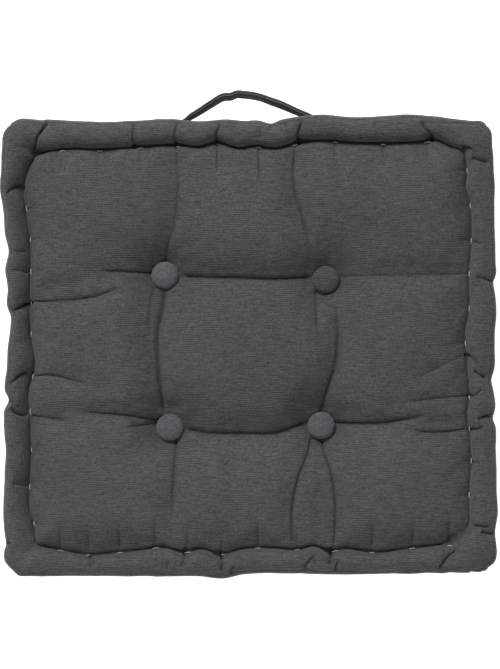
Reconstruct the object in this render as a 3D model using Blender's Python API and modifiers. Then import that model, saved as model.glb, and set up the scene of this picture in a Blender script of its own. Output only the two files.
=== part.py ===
"""Floor cushion: a square tufted cushion with a rolled edge, covered buttons and a strap handle.

Metres, +Z up, +Y towards the handle, origin at the middle of the underside.
"""
import math

import bmesh
import bpy
from mathutils import Vector

# Casing
WIDTH = 0.450             # left to right over the rolled edge
DEPTH = 0.420             # front to back over the rolled edge
EDGE_HEIGHT = 0.095       # floor to the top of the upper roll
CROWN_RISE = 0.009        # the puffs' top above the upper roll
CORNER_RADIUS = 0.016     # of the outline, seen from above
CLOTH = 0.001             # thickness of the woven cover
LINING_GAP = 0.0005       # cover to filling
SEAM_GAP = 0.0006         # between two cloth pieces along their seam

# Rolled edge
ROLL_RADIUS = 0.0125
SEAM_ANGLE = math.radians(45.0)     # where the panel meets the band, above the roll's middle
GROOVE_DEPTH = 0.011                # roll top down to the stitched groove
PUFF_RUN = 0.018                    # how soon the panel rises again inside the groove
BAND_INSET = 0.006                  # band's middle, inside the roll's outermost line
UNDER_GROOVE_HEIGHT = 0.008         # floor up to the lower stitched groove
FLAT_MARGIN = 0.020                 # underside: groove to where the panel lies flat

# Tufting
TUFT_PITCH_X = 0.1432
TUFT_PITCH_Y = 0.1366
TUFT_CENTRE_Y = -0.0045
HAND_OFFSETS = {                    # how far each hand-set button strays from the pitch
    "back_left": (-0.0059, 0.0019),
    "back_right": (-0.0016, -0.0018),
    "front_left": (-0.0015, -0.0009),
    "front_right": (-0.0059, 0.0009),
}
TOP_SEAT_DROP = 0.029               # crown down to where an upper button sits
UNDER_SEAT_RISE = 0.020             # floor up to where a lower button sits
DIMPLE_RUN = 0.030
RIM_SHARE = 0.7                     # of the puff's run, where the form's first line lies
PUFF_SHARES = (0.62, 0.28)          # the form's lines between that one and a button
UNDER_DIMPLE_RUN = 0.045
SHANK_HOLE_RADIUS = 0.0033
SHANK_HOLE_STEPS = 12

# Covered buttons
BUTTON_RADIUS = 0.0125
BUTTON_HEIGHT = 0.0072
BUTTON_CLOTH = 0.0008
BUTTON_LIP = 0.0022                 # how far the cover is tucked under
SHELL_WALL = 0.0006
PLATE_THICKNESS = 0.0008
FIT_GAP = 0.0003
EYE_RADIUS = 0.0021                 # middle of the shank's wire ring
EYE_WIRE = 0.0005
BUTTON_WAIST = 0.0022               # height of the button's widest line
BUTTON_STEPS = 16

# Threads
TWINE_RADIUS = 0.0005
TWINE_SPREAD = 0.0015               # each strand's distance from the shank's middle
ROLL_THREAD_RADIUS = 0.0006
ROLL_THREAD_RISE = 0.0028           # above the bottom of the groove
ROLL_THREAD_CORNER = 0.004

# Handle
STRAP_WIDTH = 0.020
STRAP_THICKNESS = 0.004
STRAP_REACH = 0.0226                # roll's outermost line to the middle of the loop's strap
STRAP_APEX_X = -0.010
STRAP_LEFT_ROOT_X = -0.070          # where each end leaves the band
STRAP_RIGHT_ROOT_X = 0.076
STRAP_BOW = 1.05                    # over 1, the loop is fuller near its apex
STRAP_TAB = 0.034                   # length sewn flat on the band
SWING_LIMIT = math.radians(55.0)
SWING_CLEARANCE = 0.001             # strap edge to band at the limit
HINGE_SPLIT = 0.0006                # fixed end to swinging strap

# Worked out from the sizes above
SEAM_INSET = ROLL_RADIUS * (1.0 - math.cos(SEAM_ANGLE))
SEAM_RISE = ROLL_RADIUS * math.sin(SEAM_ANGLE)
GROOVE_INSET = 2.0 * ROLL_RADIUS
GROOVE_HEIGHT = EDGE_HEIGHT - GROOVE_DEPTH
CROWN_HEIGHT = EDGE_HEIGHT + CROWN_RISE
MID_HEIGHT = EDGE_HEIGHT / 2.0
TOP_SEAT_HEIGHT = CROWN_HEIGHT - TOP_SEAT_DROP
SEAT_HALF = BUTTON_RADIUS + SEAM_GAP
SEAT_RADIUS = SEAT_HALF * math.sqrt(2.0) + SEAM_GAP
BAND_FACE_Y = DEPTH / 2.0 - BAND_INSET
HINGE_Y = (BAND_FACE_Y + STRAP_WIDTH / 2.0 * math.sin(SWING_LIMIT)
           + STRAP_THICKNESS / 2.0 + SWING_CLEARANCE)

TUFTS = {
    place: Vector((
        (TUFT_PITCH_X / 2.0 if "right" in place else -TUFT_PITCH_X / 2.0) + dx,
        TUFT_CENTRE_Y + (TUFT_PITCH_Y / 2.0 if "back" in place else -TUFT_PITCH_Y / 2.0) + dy,
    ))
    for place, (dx, dy) in HAND_OFFSETS.items()
}

COLOURS = {
    "cover_cloth": ((0.068, 0.068, 0.067, 1.0), 0.95, 0.0),
    "button_cloth": ((0.120, 0.121, 0.130, 1.0), 0.95, 0.0),
    "strap_cloth": ((0.060, 0.060, 0.059, 1.0), 0.92, 0.0),
    "white_fibre": ((0.80, 0.79, 0.76, 1.0), 1.0, 0.0),
    "pale_thread": ((0.52, 0.51, 0.49, 1.0), 0.85, 0.0),
    "tufting_twine": ((0.45, 0.43, 0.39, 1.0), 0.9, 0.0),
    "bright_metal": ((0.72, 0.72, 0.73, 1.0), 0.35, 1.0),
}


def clear_scene():
    for obj in list(bpy.data.objects):
        bpy.data.objects.remove(obj, do_unlink=True)


def make_collection(name):
    collection = bpy.data.collections.new(name)
    bpy.context.scene.collection.children.link(collection)
    return collection


def make_material(name, colour, roughness, metallic):
    material = bpy.data.materials.new(name)
    material.use_nodes = True
    shader = material.node_tree.nodes["Principled BSDF"]
    shader.inputs["Base Color"].default_value = colour
    shader.inputs["Roughness"].default_value = roughness
    shader.inputs["Metallic"].default_value = metallic
    material.diffuse_color = colour
    return material


def add_object(name, data, finish, collection, location=(0.0, 0.0, 0.0), turn=(0.0, 0.0, 0.0)):
    obj = bpy.data.objects.new(name, data)
    obj.location = location
    obj.rotation_euler = turn
    if finish is not None and not data.materials:
        data.materials.append(finish)
    collection.objects.link(obj)
    return obj


def mesh_from(bm, name):
    mesh = bpy.data.meshes.new(name)
    bm.to_mesh(mesh)
    bm.free()
    return mesh


# --- the casing's shape -------------------------------------------------------------------

def inset_of(x, y):
    """How far a point lies inside the nearest straight edge of the outline."""
    return min(WIDTH / 2.0 - abs(x), DEPTH / 2.0 - abs(y))


def round_corner(x, y, inset):
    """Moves a point of the square ring at this inset onto the ring with round corners."""
    radius = max(CORNER_RADIUS - inset, SEAM_GAP)
    centre_x = WIDTH / 2.0 - inset - radius
    centre_y = DEPTH / 2.0 - inset - radius
    out_x = abs(x) - centre_x
    out_y = abs(y) - centre_y
    if out_x <= 0.0 or out_y <= 0.0:
        return x, y
    reach = radius / math.hypot(out_x, out_y)
    return (math.copysign(centre_x + out_x * reach, x),
            math.copysign(centre_y + out_y * reach, y))


def follow_buttons(x, y):
    """Shifts a point with the hand-set buttons near it."""
    shift = Vector((0.0, 0.0))
    for place, (dx, dy) in HAND_OFFSETS.items():
        nominal = TUFTS[place] - Vector((dx, dy))
        away = max(abs(x - nominal.x), abs(y - nominal.y)) - SEAT_HALF
        fade = max(0.0, 1.0 - max(0.0, away) / DIMPLE_RUN)
        shift += fade * Vector((dx, dy))
    return x + shift.x, y + shift.y


def roll_rise(inset):
    """Height of the roll's round top above its middle."""
    across = min(max(inset - ROLL_RADIUS, -ROLL_RADIUS), ROLL_RADIUS)
    return math.sqrt(ROLL_RADIUS ** 2 - across ** 2)


def top_height(x, y):
    inset = inset_of(x, y)
    roll = EDGE_HEIGHT - ROLL_RADIUS + roll_rise(inset)
    if inset < GROOVE_INSET - SEAM_GAP:
        return max(roll, GROOVE_HEIGHT)
    inside = max(0.0, inset - GROOVE_INSET)
    puff = GROOVE_HEIGHT + (CROWN_HEIGHT - GROOVE_HEIGHT) * (1.0 - math.exp(-inside / PUFF_RUN))
    swell = 1.0
    for tuft in TUFTS.values():
        away = max(0.0, (Vector((x, y)) - tuft).length - SEAT_RADIUS)
        swell *= 1.0 - math.exp(-away / DIMPLE_RUN)
    return TOP_SEAT_HEIGHT + (puff - TOP_SEAT_HEIGHT) * swell


def under_height(x, y):
    inset = inset_of(x, y)
    if inset < GROOVE_INSET - SEAM_GAP:
        return min(ROLL_RADIUS - roll_rise(inset), UNDER_GROOVE_HEIGHT)
    inside = max(0.0, inset - GROOVE_INSET)
    panel = UNDER_GROOVE_HEIGHT * max(0.0, 1.0 - inside / FLAT_MARGIN)
    pull = 0.0
    for tuft in TUFTS.values():
        away = max(0.0, (Vector((x, y)) - tuft).length - SEAT_RADIUS)
        pull = max(pull, max(0.0, 1.0 - away / UNDER_DIMPLE_RUN) ** 2)
    return panel + (UNDER_SEAT_RISE - panel) * pull


def band_profile():
    """Inset and height of each row of the band, from the lower seam to the upper one."""
    upper_middle = EDGE_HEIGHT - ROLL_RADIUS
    half = [
        (SEAM_INSET, upper_middle + SEAM_RISE),
        (0.0, upper_middle),
        (SEAM_INSET, upper_middle - SEAM_RISE),
        (BAND_INSET + CLOTH, EDGE_HEIGHT - GROOVE_INSET),
        (BAND_INSET, MID_HEIGHT + STRAP_WIDTH / 2.0),
    ]
    lower = [(inset, EDGE_HEIGHT - height) for inset, height in half]
    return lower + half[::-1]


def casing_lines(half_size, pitch):
    """Places of the grid lines on one half, from the seam to the middle."""
    groove = half_size - GROOVE_INSET
    button = pitch / 2.0
    rim = groove - PUFF_RUN * RIM_SHARE
    span = rim - button - SEAT_HALF
    roll = [half_size - ROLL_RADIUS, groove + ROLL_RADIUS * RIM_SHARE / 2.0, groove, rim]
    puff = [button + SEAT_HALF + span * share for share in PUFF_SHARES]
    return roll + puff + [button + SEAT_HALF, button - SEAT_HALF, (button - SEAT_HALF) / 2.0]


def cut_at(bm, place, normal):
    everything = bm.verts[:] + bm.edges[:] + bm.faces[:]
    bmesh.ops.bisect_plane(bm, geom=everything, plane_co=place, plane_no=normal)


def zone_of(normal):
    if normal.z > 0.5:
        return "top"
    if normal.z < -0.5:
        return "under"
    if abs(normal.x) > 0.5:
        return "right" if normal.x > 0.0 else "left"
    return "back" if normal.y > 0.0 else "front"


def casing_form():
    """The closed outer form of the casing, and the zone of each of its faces."""
    rows = band_profile()
    half_x = WIDTH / 2.0 - SEAM_INSET
    half_y = DEPTH / 2.0 - SEAM_INSET
    bm = bmesh.new()
    bmesh.ops.create_cube(bm, size=2.0)
    last_row = len(rows) - 1
    for vert in bm.verts:
        vert.co = (vert.co.x * half_x, vert.co.y * half_y, (vert.co.z + 1.0) * last_row / 2.0)
    for line in casing_lines(WIDTH / 2.0, TUFT_PITCH_X):
        cut_at(bm, (line, 0.0, 0.0), (1.0, 0.0, 0.0))
        cut_at(bm, (-line, 0.0, 0.0), (1.0, 0.0, 0.0))
    cut_at(bm, (0.0, 0.0, 0.0), (1.0, 0.0, 0.0))
    for line in casing_lines(DEPTH / 2.0, TUFT_PITCH_Y):
        cut_at(bm, (0.0, line, 0.0), (0.0, 1.0, 0.0))
        cut_at(bm, (0.0, -line, 0.0), (0.0, 1.0, 0.0))
    cut_at(bm, (0.0, 0.0, 0.0), (0.0, 1.0, 0.0))
    for row in range(1, last_row):
        cut_at(bm, (0.0, 0.0, float(row)), (0.0, 0.0, 1.0))
    bm.normal_update()
    bm.faces.ensure_lookup_table()
    zones = [zone_of(face.normal) for face in bm.faces]
    for vert in bm.verts:
        touching = {zone_of(face.normal) for face in vert.link_faces}
        vert.tag = bool(touching & {"left", "right", "front", "back"})
    for vert in bm.verts:
        x, y, level = vert.co
        if vert.tag:
            inset, height = rows[round(level)]
            x *= (WIDTH / 2.0 - inset) / half_x
            y *= (DEPTH / 2.0 - inset) / half_y
            x, y = round_corner(x, y, inset)
            vert.co = (x, y, height)
        else:
            inset = inset_of(x, y)
            shifted = follow_buttons(x, y + centre_shift(y))
            height = top_height(*shifted) if level > last_row / 2.0 else under_height(*shifted)
            vert.co = (*round_corner(*shifted, inset), height)
    bm.normal_update()
    return bm, zones


def centre_shift(y):
    """Moves the tufted middle of the grid to the tufts' own centre line."""
    groove = DEPTH / 2.0 - GROOVE_INSET
    fade = 1.0 - max(0.0, abs(y) - TUFT_PITCH_Y / 2.0 - SEAT_HALF) / (
        groove - TUFT_PITCH_Y / 2.0 - SEAT_HALF)
    return TUFT_CENTRE_Y * max(0.0, min(1.0, fade))


def cloth_piece(zone):
    """One piece of the cover: its faces of the form, with the cloth's thickness inwards."""
    bm, zones = casing_form()
    inward = {vert: -vert.normal.copy() for vert in bm.verts}
    spare = [face for face, place in zip(bm.faces, zones) if place != zone]
    bmesh.ops.delete(bm, geom=spare, context="FACES")
    border = [vert for vert in bm.verts if vert.is_boundary]
    moves = []
    for vert in border:
        middle = sum((face.calc_center_median() for face in vert.link_faces), Vector())
        towards = (middle / len(vert.link_faces) - vert.co).normalized()
        moves.append(towards * SEAM_GAP)
    for vert, move in zip(border, moves):
        vert.co += move
    pairs = [(vert.co.copy(), inward[vert]) for vert in bm.verts]
    outer = bm.faces[:] + bm.edges[:] + bm.verts[:]
    made = bmesh.ops.extrude_face_region(bm, geom=outer, use_keep_orig=True)
    new_verts = [item for item in made["geom"] if isinstance(item, bmesh.types.BMVert)]
    steps = {tuple(round(value, 7) for value in place): step for place, step in pairs}
    for vert in new_verts:
        vert.co += steps[tuple(round(value, 7) for value in vert.co)] * CLOTH
    bmesh.ops.recalc_face_normals(bm, faces=bm.faces[:])
    return bm


def filling_block():
    bm, _ = casing_form()
    steps = [(vert, vert.normal.copy()) for vert in bm.verts]
    for vert, normal in steps:
        vert.co -= normal * (CLOTH + LINING_GAP)
    return bm


# --- turned, wired and cut pieces ---------------------------------------------------------

def turned(name, profile, steps):
    """A profile in the XZ plane, from the axis down its outer side, turned about Z."""
    mesh = bpy.data.meshes.new(name)
    points = [(radius, 0.0, height) for radius, height in profile]
    edges = [(index, index + 1) for index in range(len(points) - 1)]
    mesh.from_pydata(points, edges, [])
    guide = bpy.data.objects.new(name + "_profile", mesh)
    bpy.context.scene.collection.objects.link(guide)
    screw = guide.modifiers.new("turn", "SCREW")
    screw.steps = steps
    screw.render_steps = steps
    screw.use_merge_vertices = True
    screw.merge_threshold = 0.00002
    screw.use_normal_calculate = True
    screw.use_smooth_shade = True
    solid = bpy.data.meshes.new_from_object(guide.evaluated_get(
        bpy.context.evaluated_depsgraph_get()))
    bpy.data.objects.remove(guide, do_unlink=True)
    bm = bmesh.new()
    bm.from_mesh(solid)
    bmesh.ops.recalc_face_normals(bm, faces=bm.faces[:])
    bm.to_mesh(solid)
    bm.free()
    return solid


def dome_arc(radius, base, top, points):
    """Points of a low dome, from its top on the axis down to its edge."""
    arc = []
    for index in range(points + 1):
        turn = math.pi / 2.0 * index / points
        arc.append((radius * math.sin(turn), base + (top - base) * math.cos(turn)))
    return arc


def cover_profile():
    edge = BUTTON_RADIUS - BUTTON_CLOTH
    lip = edge - BUTTON_LIP
    outside = dome_arc(BUTTON_RADIUS, BUTTON_WAIST, BUTTON_HEIGHT, 4)
    tuck = [(edge, 0.0), (lip, 0.0), (lip, BUTTON_CLOTH), (edge, BUTTON_CLOTH)]
    inside = dome_arc(edge, BUTTON_WAIST, BUTTON_HEIGHT - BUTTON_CLOTH, 4)
    return outside + tuck + inside[::-1]


def shell_profile():
    edge = BUTTON_RADIUS - BUTTON_CLOTH - FIT_GAP
    top = BUTTON_HEIGHT - BUTTON_CLOTH - FIT_GAP
    rim = BUTTON_CLOTH + FIT_GAP
    outside = dome_arc(edge, BUTTON_WAIST, top, 3)
    inside = dome_arc(edge - SHELL_WALL, BUTTON_WAIST, top - SHELL_WALL, 3)
    return outside + [(edge, rim), (edge - SHELL_WALL, rim)] + inside[::-1]


def button_back():
    """The plate that closes the shell, with its wire eye under it."""
    radius = BUTTON_RADIUS - BUTTON_CLOTH - SHELL_WALL - 2.0 * FIT_GAP
    low = BUTTON_CLOTH + FIT_GAP
    plate = turned("plate", [(0.0, low + PLATE_THICKNESS), (radius, low + PLATE_THICKNESS),
                             (radius, low), (0.0, low)], BUTTON_STEPS)
    bpy.ops.mesh.primitive_torus_add(
        major_radius=EYE_RADIUS, minor_radius=EYE_WIRE, major_segments=12, minor_segments=6,
        location=(0.0, 0.0, low + EYE_WIRE - EYE_RADIUS), rotation=(math.pi / 2.0, 0.0, 0.0))
    eye = bpy.context.object
    base = bpy.data.objects.new("plate_base", plate)
    bpy.context.scene.collection.objects.link(base)
    weld = base.modifiers.new("eye", "BOOLEAN")
    weld.operation = "UNION"
    weld.object = eye
    joined = bpy.data.meshes.new_from_object(base.evaluated_get(
        bpy.context.evaluated_depsgraph_get()))
    bpy.data.objects.remove(base, do_unlink=True)
    bpy.data.objects.remove(eye, do_unlink=True)
    return joined


def wire(name, points, radius, finish, collection, closed):
    """A round thread along points, as a mesh."""
    curve = bpy.data.curves.new(name, "CURVE")
    curve.dimensions = "3D"
    curve.bevel_depth = radius
    curve.bevel_resolution = 2
    curve.use_fill_caps = not closed
    spline = curve.splines.new("POLY")
    spline.points.add(len(points) - 1)
    for point, place in zip(spline.points, points):
        point.co = (*place, 1.0)
    spline.use_cyclic_u = closed
    return add_object(name, curve, finish, collection)


def strap_path(from_x, to_x, steps):
    """Middle line of the strap, from one x to another."""
    line = []
    for index in range(steps + 1):
        x = from_x + (to_x - from_x) * index / steps
        line.append(Vector((x, strap_y(x))))
    return line


def strap_y(x):
    """How far back the strap's middle line runs at this x."""
    flat = BAND_FACE_Y + FIT_GAP + STRAP_THICKNESS / 2.0
    root = STRAP_LEFT_ROOT_X if x < STRAP_APEX_X else STRAP_RIGHT_ROOT_X
    share = min(1.0, abs(x - STRAP_APEX_X) / abs(root - STRAP_APEX_X))
    rise = 0.5 + 0.5 * math.cos(math.pi * share ** STRAP_BOW)
    return flat + (DEPTH / 2.0 + STRAP_REACH - flat) * rise


def hinge_x(root):
    """Where the strap's middle line crosses the swing axis, between its apex and a root."""
    near, far = STRAP_APEX_X, root
    for _ in range(40):
        middle = (near + far) / 2.0
        if strap_y(middle) > HINGE_Y:
            near = middle
        else:
            far = middle
    return (near + far) / 2.0


def strap_outline(line):
    """Closed outline of a strap with this middle line, its ends square to X."""
    sides = ([], [])
    last = len(line) - 1
    for index, point in enumerate(line):
        along = (line[min(index + 1, last)] - line[max(index - 1, 0)]).normalized()
        across = Vector((-along.y, along.x)) * STRAP_THICKNESS / 2.0
        if index in (0, last):
            across = Vector((0.0, STRAP_THICKNESS / 2.0 / max(along.x, 0.5)))
        sides[0].append(point + across)
        sides[1].append(point - across)
    return sides[0] + sides[1][::-1]


def strap_piece(name, from_x, to_x, steps, finish, collection):
    """A stretch of strap, with its origin on the swing axis."""
    outline = strap_outline(strap_path(from_x, to_x, steps))
    curve = bpy.data.curves.new(name, "CURVE")
    curve.dimensions = "2D"
    curve.fill_mode = "BOTH"
    curve.extrude = STRAP_WIDTH / 2.0
    spline = curve.splines.new("POLY")
    spline.points.add(len(outline) - 1)
    for point, place in zip(spline.points, outline):
        point.co = (place.x, place.y - HINGE_Y, 0.0, 1.0)
    spline.use_cyclic_u = True
    return add_object(name, curve, finish, collection, (0.0, HINGE_Y, MID_HEIGHT))


# --- the pieces ---------------------------------------------------------------------------

def add_shank_holes(obj, cutters):
    for cutter in cutters:
        cut = obj.modifiers.new(cutter.name, "BOOLEAN")
        cut.operation = "DIFFERENCE"
        cut.solver = "EXACT"
        cut.object = cutter


def make_cutters(collection):
    cutters = []
    for place, tuft in TUFTS.items():
        bpy.ops.mesh.primitive_cylinder_add(
            vertices=SHANK_HOLE_STEPS, radius=SHANK_HOLE_RADIUS, depth=CROWN_HEIGHT * 2.0,
            location=(tuft.x, tuft.y, CROWN_HEIGHT / 2.0))
        cutter = bpy.context.object
        cutter.name = "shank_hole_" + place
        for owner in list(cutter.users_collection):
            owner.objects.unlink(cutter)
        collection.objects.link(cutter)
        cutter.hide_render = True
        cutter.display_type = "WIRE"
        cutters.append(cutter)
    return cutters


def make_casing(finishes, parts, cutters):
    for name, zone in (("top_panel", "top"), ("bottom_panel", "under")):
        panel = add_object(name, mesh_from(cloth_piece(zone), name), finishes["cover_cloth"], parts)
        add_shank_holes(panel, cutters)
    for zone in ("front", "back", "left", "right"):
        name = "band_" + zone
        add_object(name, mesh_from(cloth_piece(zone), name), finishes["cover_cloth"], parts)
    filling = add_object("fibre_filling", mesh_from(filling_block(), "fibre_filling"),
                         finishes["white_fibre"], parts)
    add_shank_holes(filling, cutters)


def make_buttons(finishes, parts):
    cover = turned("button_cover", cover_profile(), BUTTON_STEPS)
    shell = turned("button_shell", shell_profile(), BUTTON_STEPS)
    back = button_back()
    kinds = (("cover", cover, "button_cloth"), ("shell", shell, "bright_metal"),
             ("back", back, "bright_metal"))
    for kind, mesh, finish in kinds:
        mesh.materials.clear()
        mesh.materials.append(finishes[finish])
        for place, tuft in TUFTS.items():
            upper = (tuft.x, tuft.y, TOP_SEAT_HEIGHT + FIT_GAP)
            lower = (tuft.x, tuft.y, UNDER_SEAT_RISE - FIT_GAP)
            add_object(f"top_button_{kind}_{place}", mesh, None, parts, upper)
            add_object(f"bottom_button_{kind}_{place}", mesh, None, parts, lower,
                       (math.pi, 0.0, 0.0))


def make_twines(finishes, parts):
    """Each twine is one closed loop through the eyes of an upper and a lower button."""
    eye_drop = EYE_RADIUS - EYE_WIRE - BUTTON_CLOTH - FIT_GAP
    high = TOP_SEAT_HEIGHT + FIT_GAP - eye_drop
    low = UNDER_SEAT_RISE - FIT_GAP + eye_drop
    bend = TWINE_SPREAD * 0.6
    for place, tuft in TUFTS.items():
        side = [(TWINE_SPREAD - bend, high), (TWINE_SPREAD, high - bend),
                (TWINE_SPREAD, low + bend), (TWINE_SPREAD - bend, low)]
        loop = side + [(-out, height) for out, height in side[::-1]]
        points = [(tuft.x, tuft.y + out, height) for out, height in loop]
        wire("tuft_twine_" + place, points, TWINE_RADIUS, finishes["tufting_twine"], parts, True)


def make_roll_threads(finishes, parts):
    """The running thread that pinches each roll, lying in its groove all round."""
    inset = GROOVE_INSET + ROLL_THREAD_RADIUS
    centre_x = WIDTH / 2.0 - inset - ROLL_THREAD_CORNER
    centre_y = DEPTH / 2.0 - inset - ROLL_THREAD_CORNER
    heights = {
        "top_roll_thread": GROOVE_HEIGHT + ROLL_THREAD_RISE,
        "bottom_roll_thread": UNDER_GROOVE_HEIGHT - ROLL_THREAD_RISE,
    }
    for name, height in heights.items():
        points = []
        for quarter in range(4):
            sign_x = 1.0 if quarter in (0, 3) else -1.0
            sign_y = 1.0 if quarter in (0, 1) else -1.0
            for step in range(4):
                turn = math.radians(90.0 * quarter + 30.0 * step)
                points.append((sign_x * centre_x + ROLL_THREAD_CORNER * math.cos(turn),
                               sign_y * centre_y + ROLL_THREAD_CORNER * math.sin(turn), height))
        wire(name, points, ROLL_THREAD_RADIUS, finishes["pale_thread"], parts, True)


def make_handle(finishes, parts):
    left = hinge_x(STRAP_LEFT_ROOT_X)
    right = hinge_x(STRAP_RIGHT_ROOT_X)
    half_split = HINGE_SPLIT / 2.0
    cloth = finishes["strap_cloth"]
    strap_piece("handle_end_left", STRAP_LEFT_ROOT_X - STRAP_TAB, left - half_split, 10,
                cloth, parts)
    strap_piece("handle_strap", left + half_split, right - half_split, 24, cloth, parts)
    strap_piece("handle_end_right", right + half_split, STRAP_RIGHT_ROOT_X + STRAP_TAB, 10,
                cloth, parts)


def main():
    clear_scene()
    parts = make_collection("floor_cushion")
    cutter_collection = make_collection("cutters")
    finishes = {name: make_material(name, *values) for name, values in COLOURS.items()}
    cutters = make_cutters(cutter_collection)
    make_casing(finishes, parts, cutters)
    make_buttons(finishes, parts)
    make_twines(finishes, parts)
    make_roll_threads(finishes, parts)
    make_handle(finishes, parts)


main()
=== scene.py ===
"""Floor cushion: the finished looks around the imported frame.

Metres, +Z up, +Y towards the handle, origin at the middle of the underside.
"""
import math

import bmesh
import bpy
import numpy as np
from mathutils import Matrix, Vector


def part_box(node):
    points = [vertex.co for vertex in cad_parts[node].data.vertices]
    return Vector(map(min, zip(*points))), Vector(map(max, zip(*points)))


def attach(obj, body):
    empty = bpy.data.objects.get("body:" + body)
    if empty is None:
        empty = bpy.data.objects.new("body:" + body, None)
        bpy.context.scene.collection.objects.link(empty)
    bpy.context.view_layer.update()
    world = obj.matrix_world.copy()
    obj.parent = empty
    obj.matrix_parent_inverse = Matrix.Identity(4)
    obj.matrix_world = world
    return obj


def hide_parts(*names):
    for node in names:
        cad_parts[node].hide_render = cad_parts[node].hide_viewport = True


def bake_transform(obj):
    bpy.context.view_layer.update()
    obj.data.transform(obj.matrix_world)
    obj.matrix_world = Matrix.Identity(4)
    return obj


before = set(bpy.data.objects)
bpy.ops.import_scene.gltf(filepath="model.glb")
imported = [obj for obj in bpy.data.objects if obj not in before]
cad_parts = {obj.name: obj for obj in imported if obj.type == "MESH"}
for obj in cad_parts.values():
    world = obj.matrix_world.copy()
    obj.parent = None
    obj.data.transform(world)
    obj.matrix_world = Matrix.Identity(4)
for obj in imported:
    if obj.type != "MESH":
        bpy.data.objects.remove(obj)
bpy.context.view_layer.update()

PLACES = ("back_left", "back_right", "front_left", "front_right")

# The axis that each side faces along, and which way
SIDES = {"back": (1, 1.0), "front": (1, -1.0), "left": (0, -1.0), "right": (0, 1.0)}


def in_metres(table):
    """A table in tenths of a millimetre, turned into metres."""
    if isinstance(table, dict):
        return {name: in_metres(part) for name, part in table.items()}
    if isinstance(table, (list, tuple)):
        return [in_metres(part) for part in table]
    return table / 10000.0


# Sizes taken from the frame
HALF_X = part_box("band_right")[1].x
HALF_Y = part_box("band_back")[1].y
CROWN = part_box("top_panel")[1].z
TOP_BUTTONS = {place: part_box("top_button_cover_" + place) for place in PLACES}
LOW_BUTTONS = {place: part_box("bottom_button_cover_" + place) for place in PLACES}

# The rolled edge
ROLL = 0.0125                            # radius of the pinched roll
EDGE = 0.095                             # floor to the top of the upper roll
SEAM_TURN = math.radians(45.0)           # where panel and band are joined
GROOVE_TURN = math.radians(196.0)        # where the running thread pinches the roll
ROLL_LAY = 0.025                         # the roll's share of the cage, from seam to groove
GROOVE_OUT = ROLL * (1.0 - math.cos(GROOVE_TURN))
GROOVE_Z = EDGE - ROLL + ROLL * math.sin(GROOVE_TURN)

# Every table in in_metres is in tenths of a millimetre.

# Unevenness of each side, of its groove and of its outline from above:
# (place along the side, inset from the straight edge)
GROOVES = in_metres({
    "back": [(-1980, 340), (-1700, 285), (-1350, 285), (-1000, 260), (-645, 243), (-470, 262),
             (-300, 220), (-100, 275), (50, 252), (224, 275), (435, 224), (755, 202), (930, 220),
             (1220, 224), (1620, 204), (1700, 190), (1835, 258), (1940, 270)],
    "right": [(1710, 273), (1600, 260), (1480, 273), (1290, 232), (970, 223), (670, 242), (280, 251),
              (190, 273), (-70, 269), (-450, 242), (-630, 260), (-750, 242), (-1030, 223), (-1350, 242),
              (-1620, 232)],
    "front": [(-1945, 279), (-1725, 240), (-1470, 197), (-1185, 218), (-1002, 238), (-786, 264),
              (-565, 221), (-456, 252), (-270, 200), (-52, 252), (233, 258), (435, 243), (595, 279),
              (737, 229), (865, 252), (1011, 235), (1120, 218), (1432, 252), (1750, 288)],
    "left": [(1760, 274), (1600, 214), (1455, 178), (1240, 200), (990, 232), (400, 232), (100, 242),
             (-165, 278), (-250, 260), (-390, 223), (-630, 232), (-1030, 242), (-1280, 226), (-1490, 232),
             (-1630, 269), (-1766, 287), (-1860, 287)],
})
OUTLINES = in_metres({
    "back": [(-2050, 8), (-1860, 14), (-1280, 37), (-680, 14), (-435, 28), (-250, 18), (-5, 30), (66, 23),
             (136, 34), (186, 56), (259, 33), (309, 18), (432, -7), (660, -27), (920, -5), (1420, -27),
             (1610, -23), (1835, 5), (2090, 24)],
    "right": [(2000, 30), (1850, 27), (1665, 13), (1025, 4), (796, -1), (631, 1), (595, 17), (512, 4),
              (18, 6), (-238, 20), (-291, 36), (-380, 17), (-613, 11), (-643, 26), (-709, 1), (-851, -4),
              (-1310, -15), (-1540, -24), (-1690, -1), (-1860, -15), (-2010, 5)],
    "front": [(-2050, 0), (-1825, 0), (-910, 0), (-450, -5), (-240, -18), (-90, 14), (190, 28), (740, 18),
              (1380, 23), (1900, 30), (2060, 26)],
    "left": [(2000, -6), (1900, -12), (1760, -19), (1390, -28), (1235, -5), (1025, 13), (880, 45),
             (705, 15), (561, 35), (348, 40), (293, 66), (183, 58), (-27, 37), (-192, 31), (-329, 9),
             (-427, 11), (-485, 54), (-531, 19), (-705, 2), (-850, 13), (-1720, 8), (-1795, 20),
             (-1850, 6), (-2000, 8)],
})
# Radius of each corner of the groove and of the outline
GROOVE_CORNERS = in_metres({"back_left": 40, "back_right": 140, "front_left": 40, "front_right": 260})
OUTER_CORNERS = in_metres({"back_left": 170, "back_right": 160, "front_left": 145, "front_right": 130})
# How straight a corner is cut: 0 is round, 1 is straight across
CORNER_CUTS = {"back_left": 0.35, "back_right": 0.0, "front_left": 0.80, "front_right": 0.75}

# Running stitches that show in the groove: places along each side
STITCHES = in_metres({
    "back": (-1706, -1368, -993, -663, -297, 87, 416, 782, 1222, 1624),
    "right": (1610, 1290, 970, 668, 350, 30, -457, -750, -1043, -1354),
    "front": (-1725, -1469, -1185, -856, -563, -252, 78, 435, 782, 1121, 1487, 1825),
    "left": (1263, 979, 686, 403, 119, -265, -595, -942, -1281, -1620),
})

# Pleats that the running stitches pull into the panel: (length, depth, depth of the sharp core)
PLEATS = in_metres({
    "back": (340, 28, 6),
    "right": (180, 16, 3),
    "front": (360, 34, 8),
    "left": (180, 16, 3),
})

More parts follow.
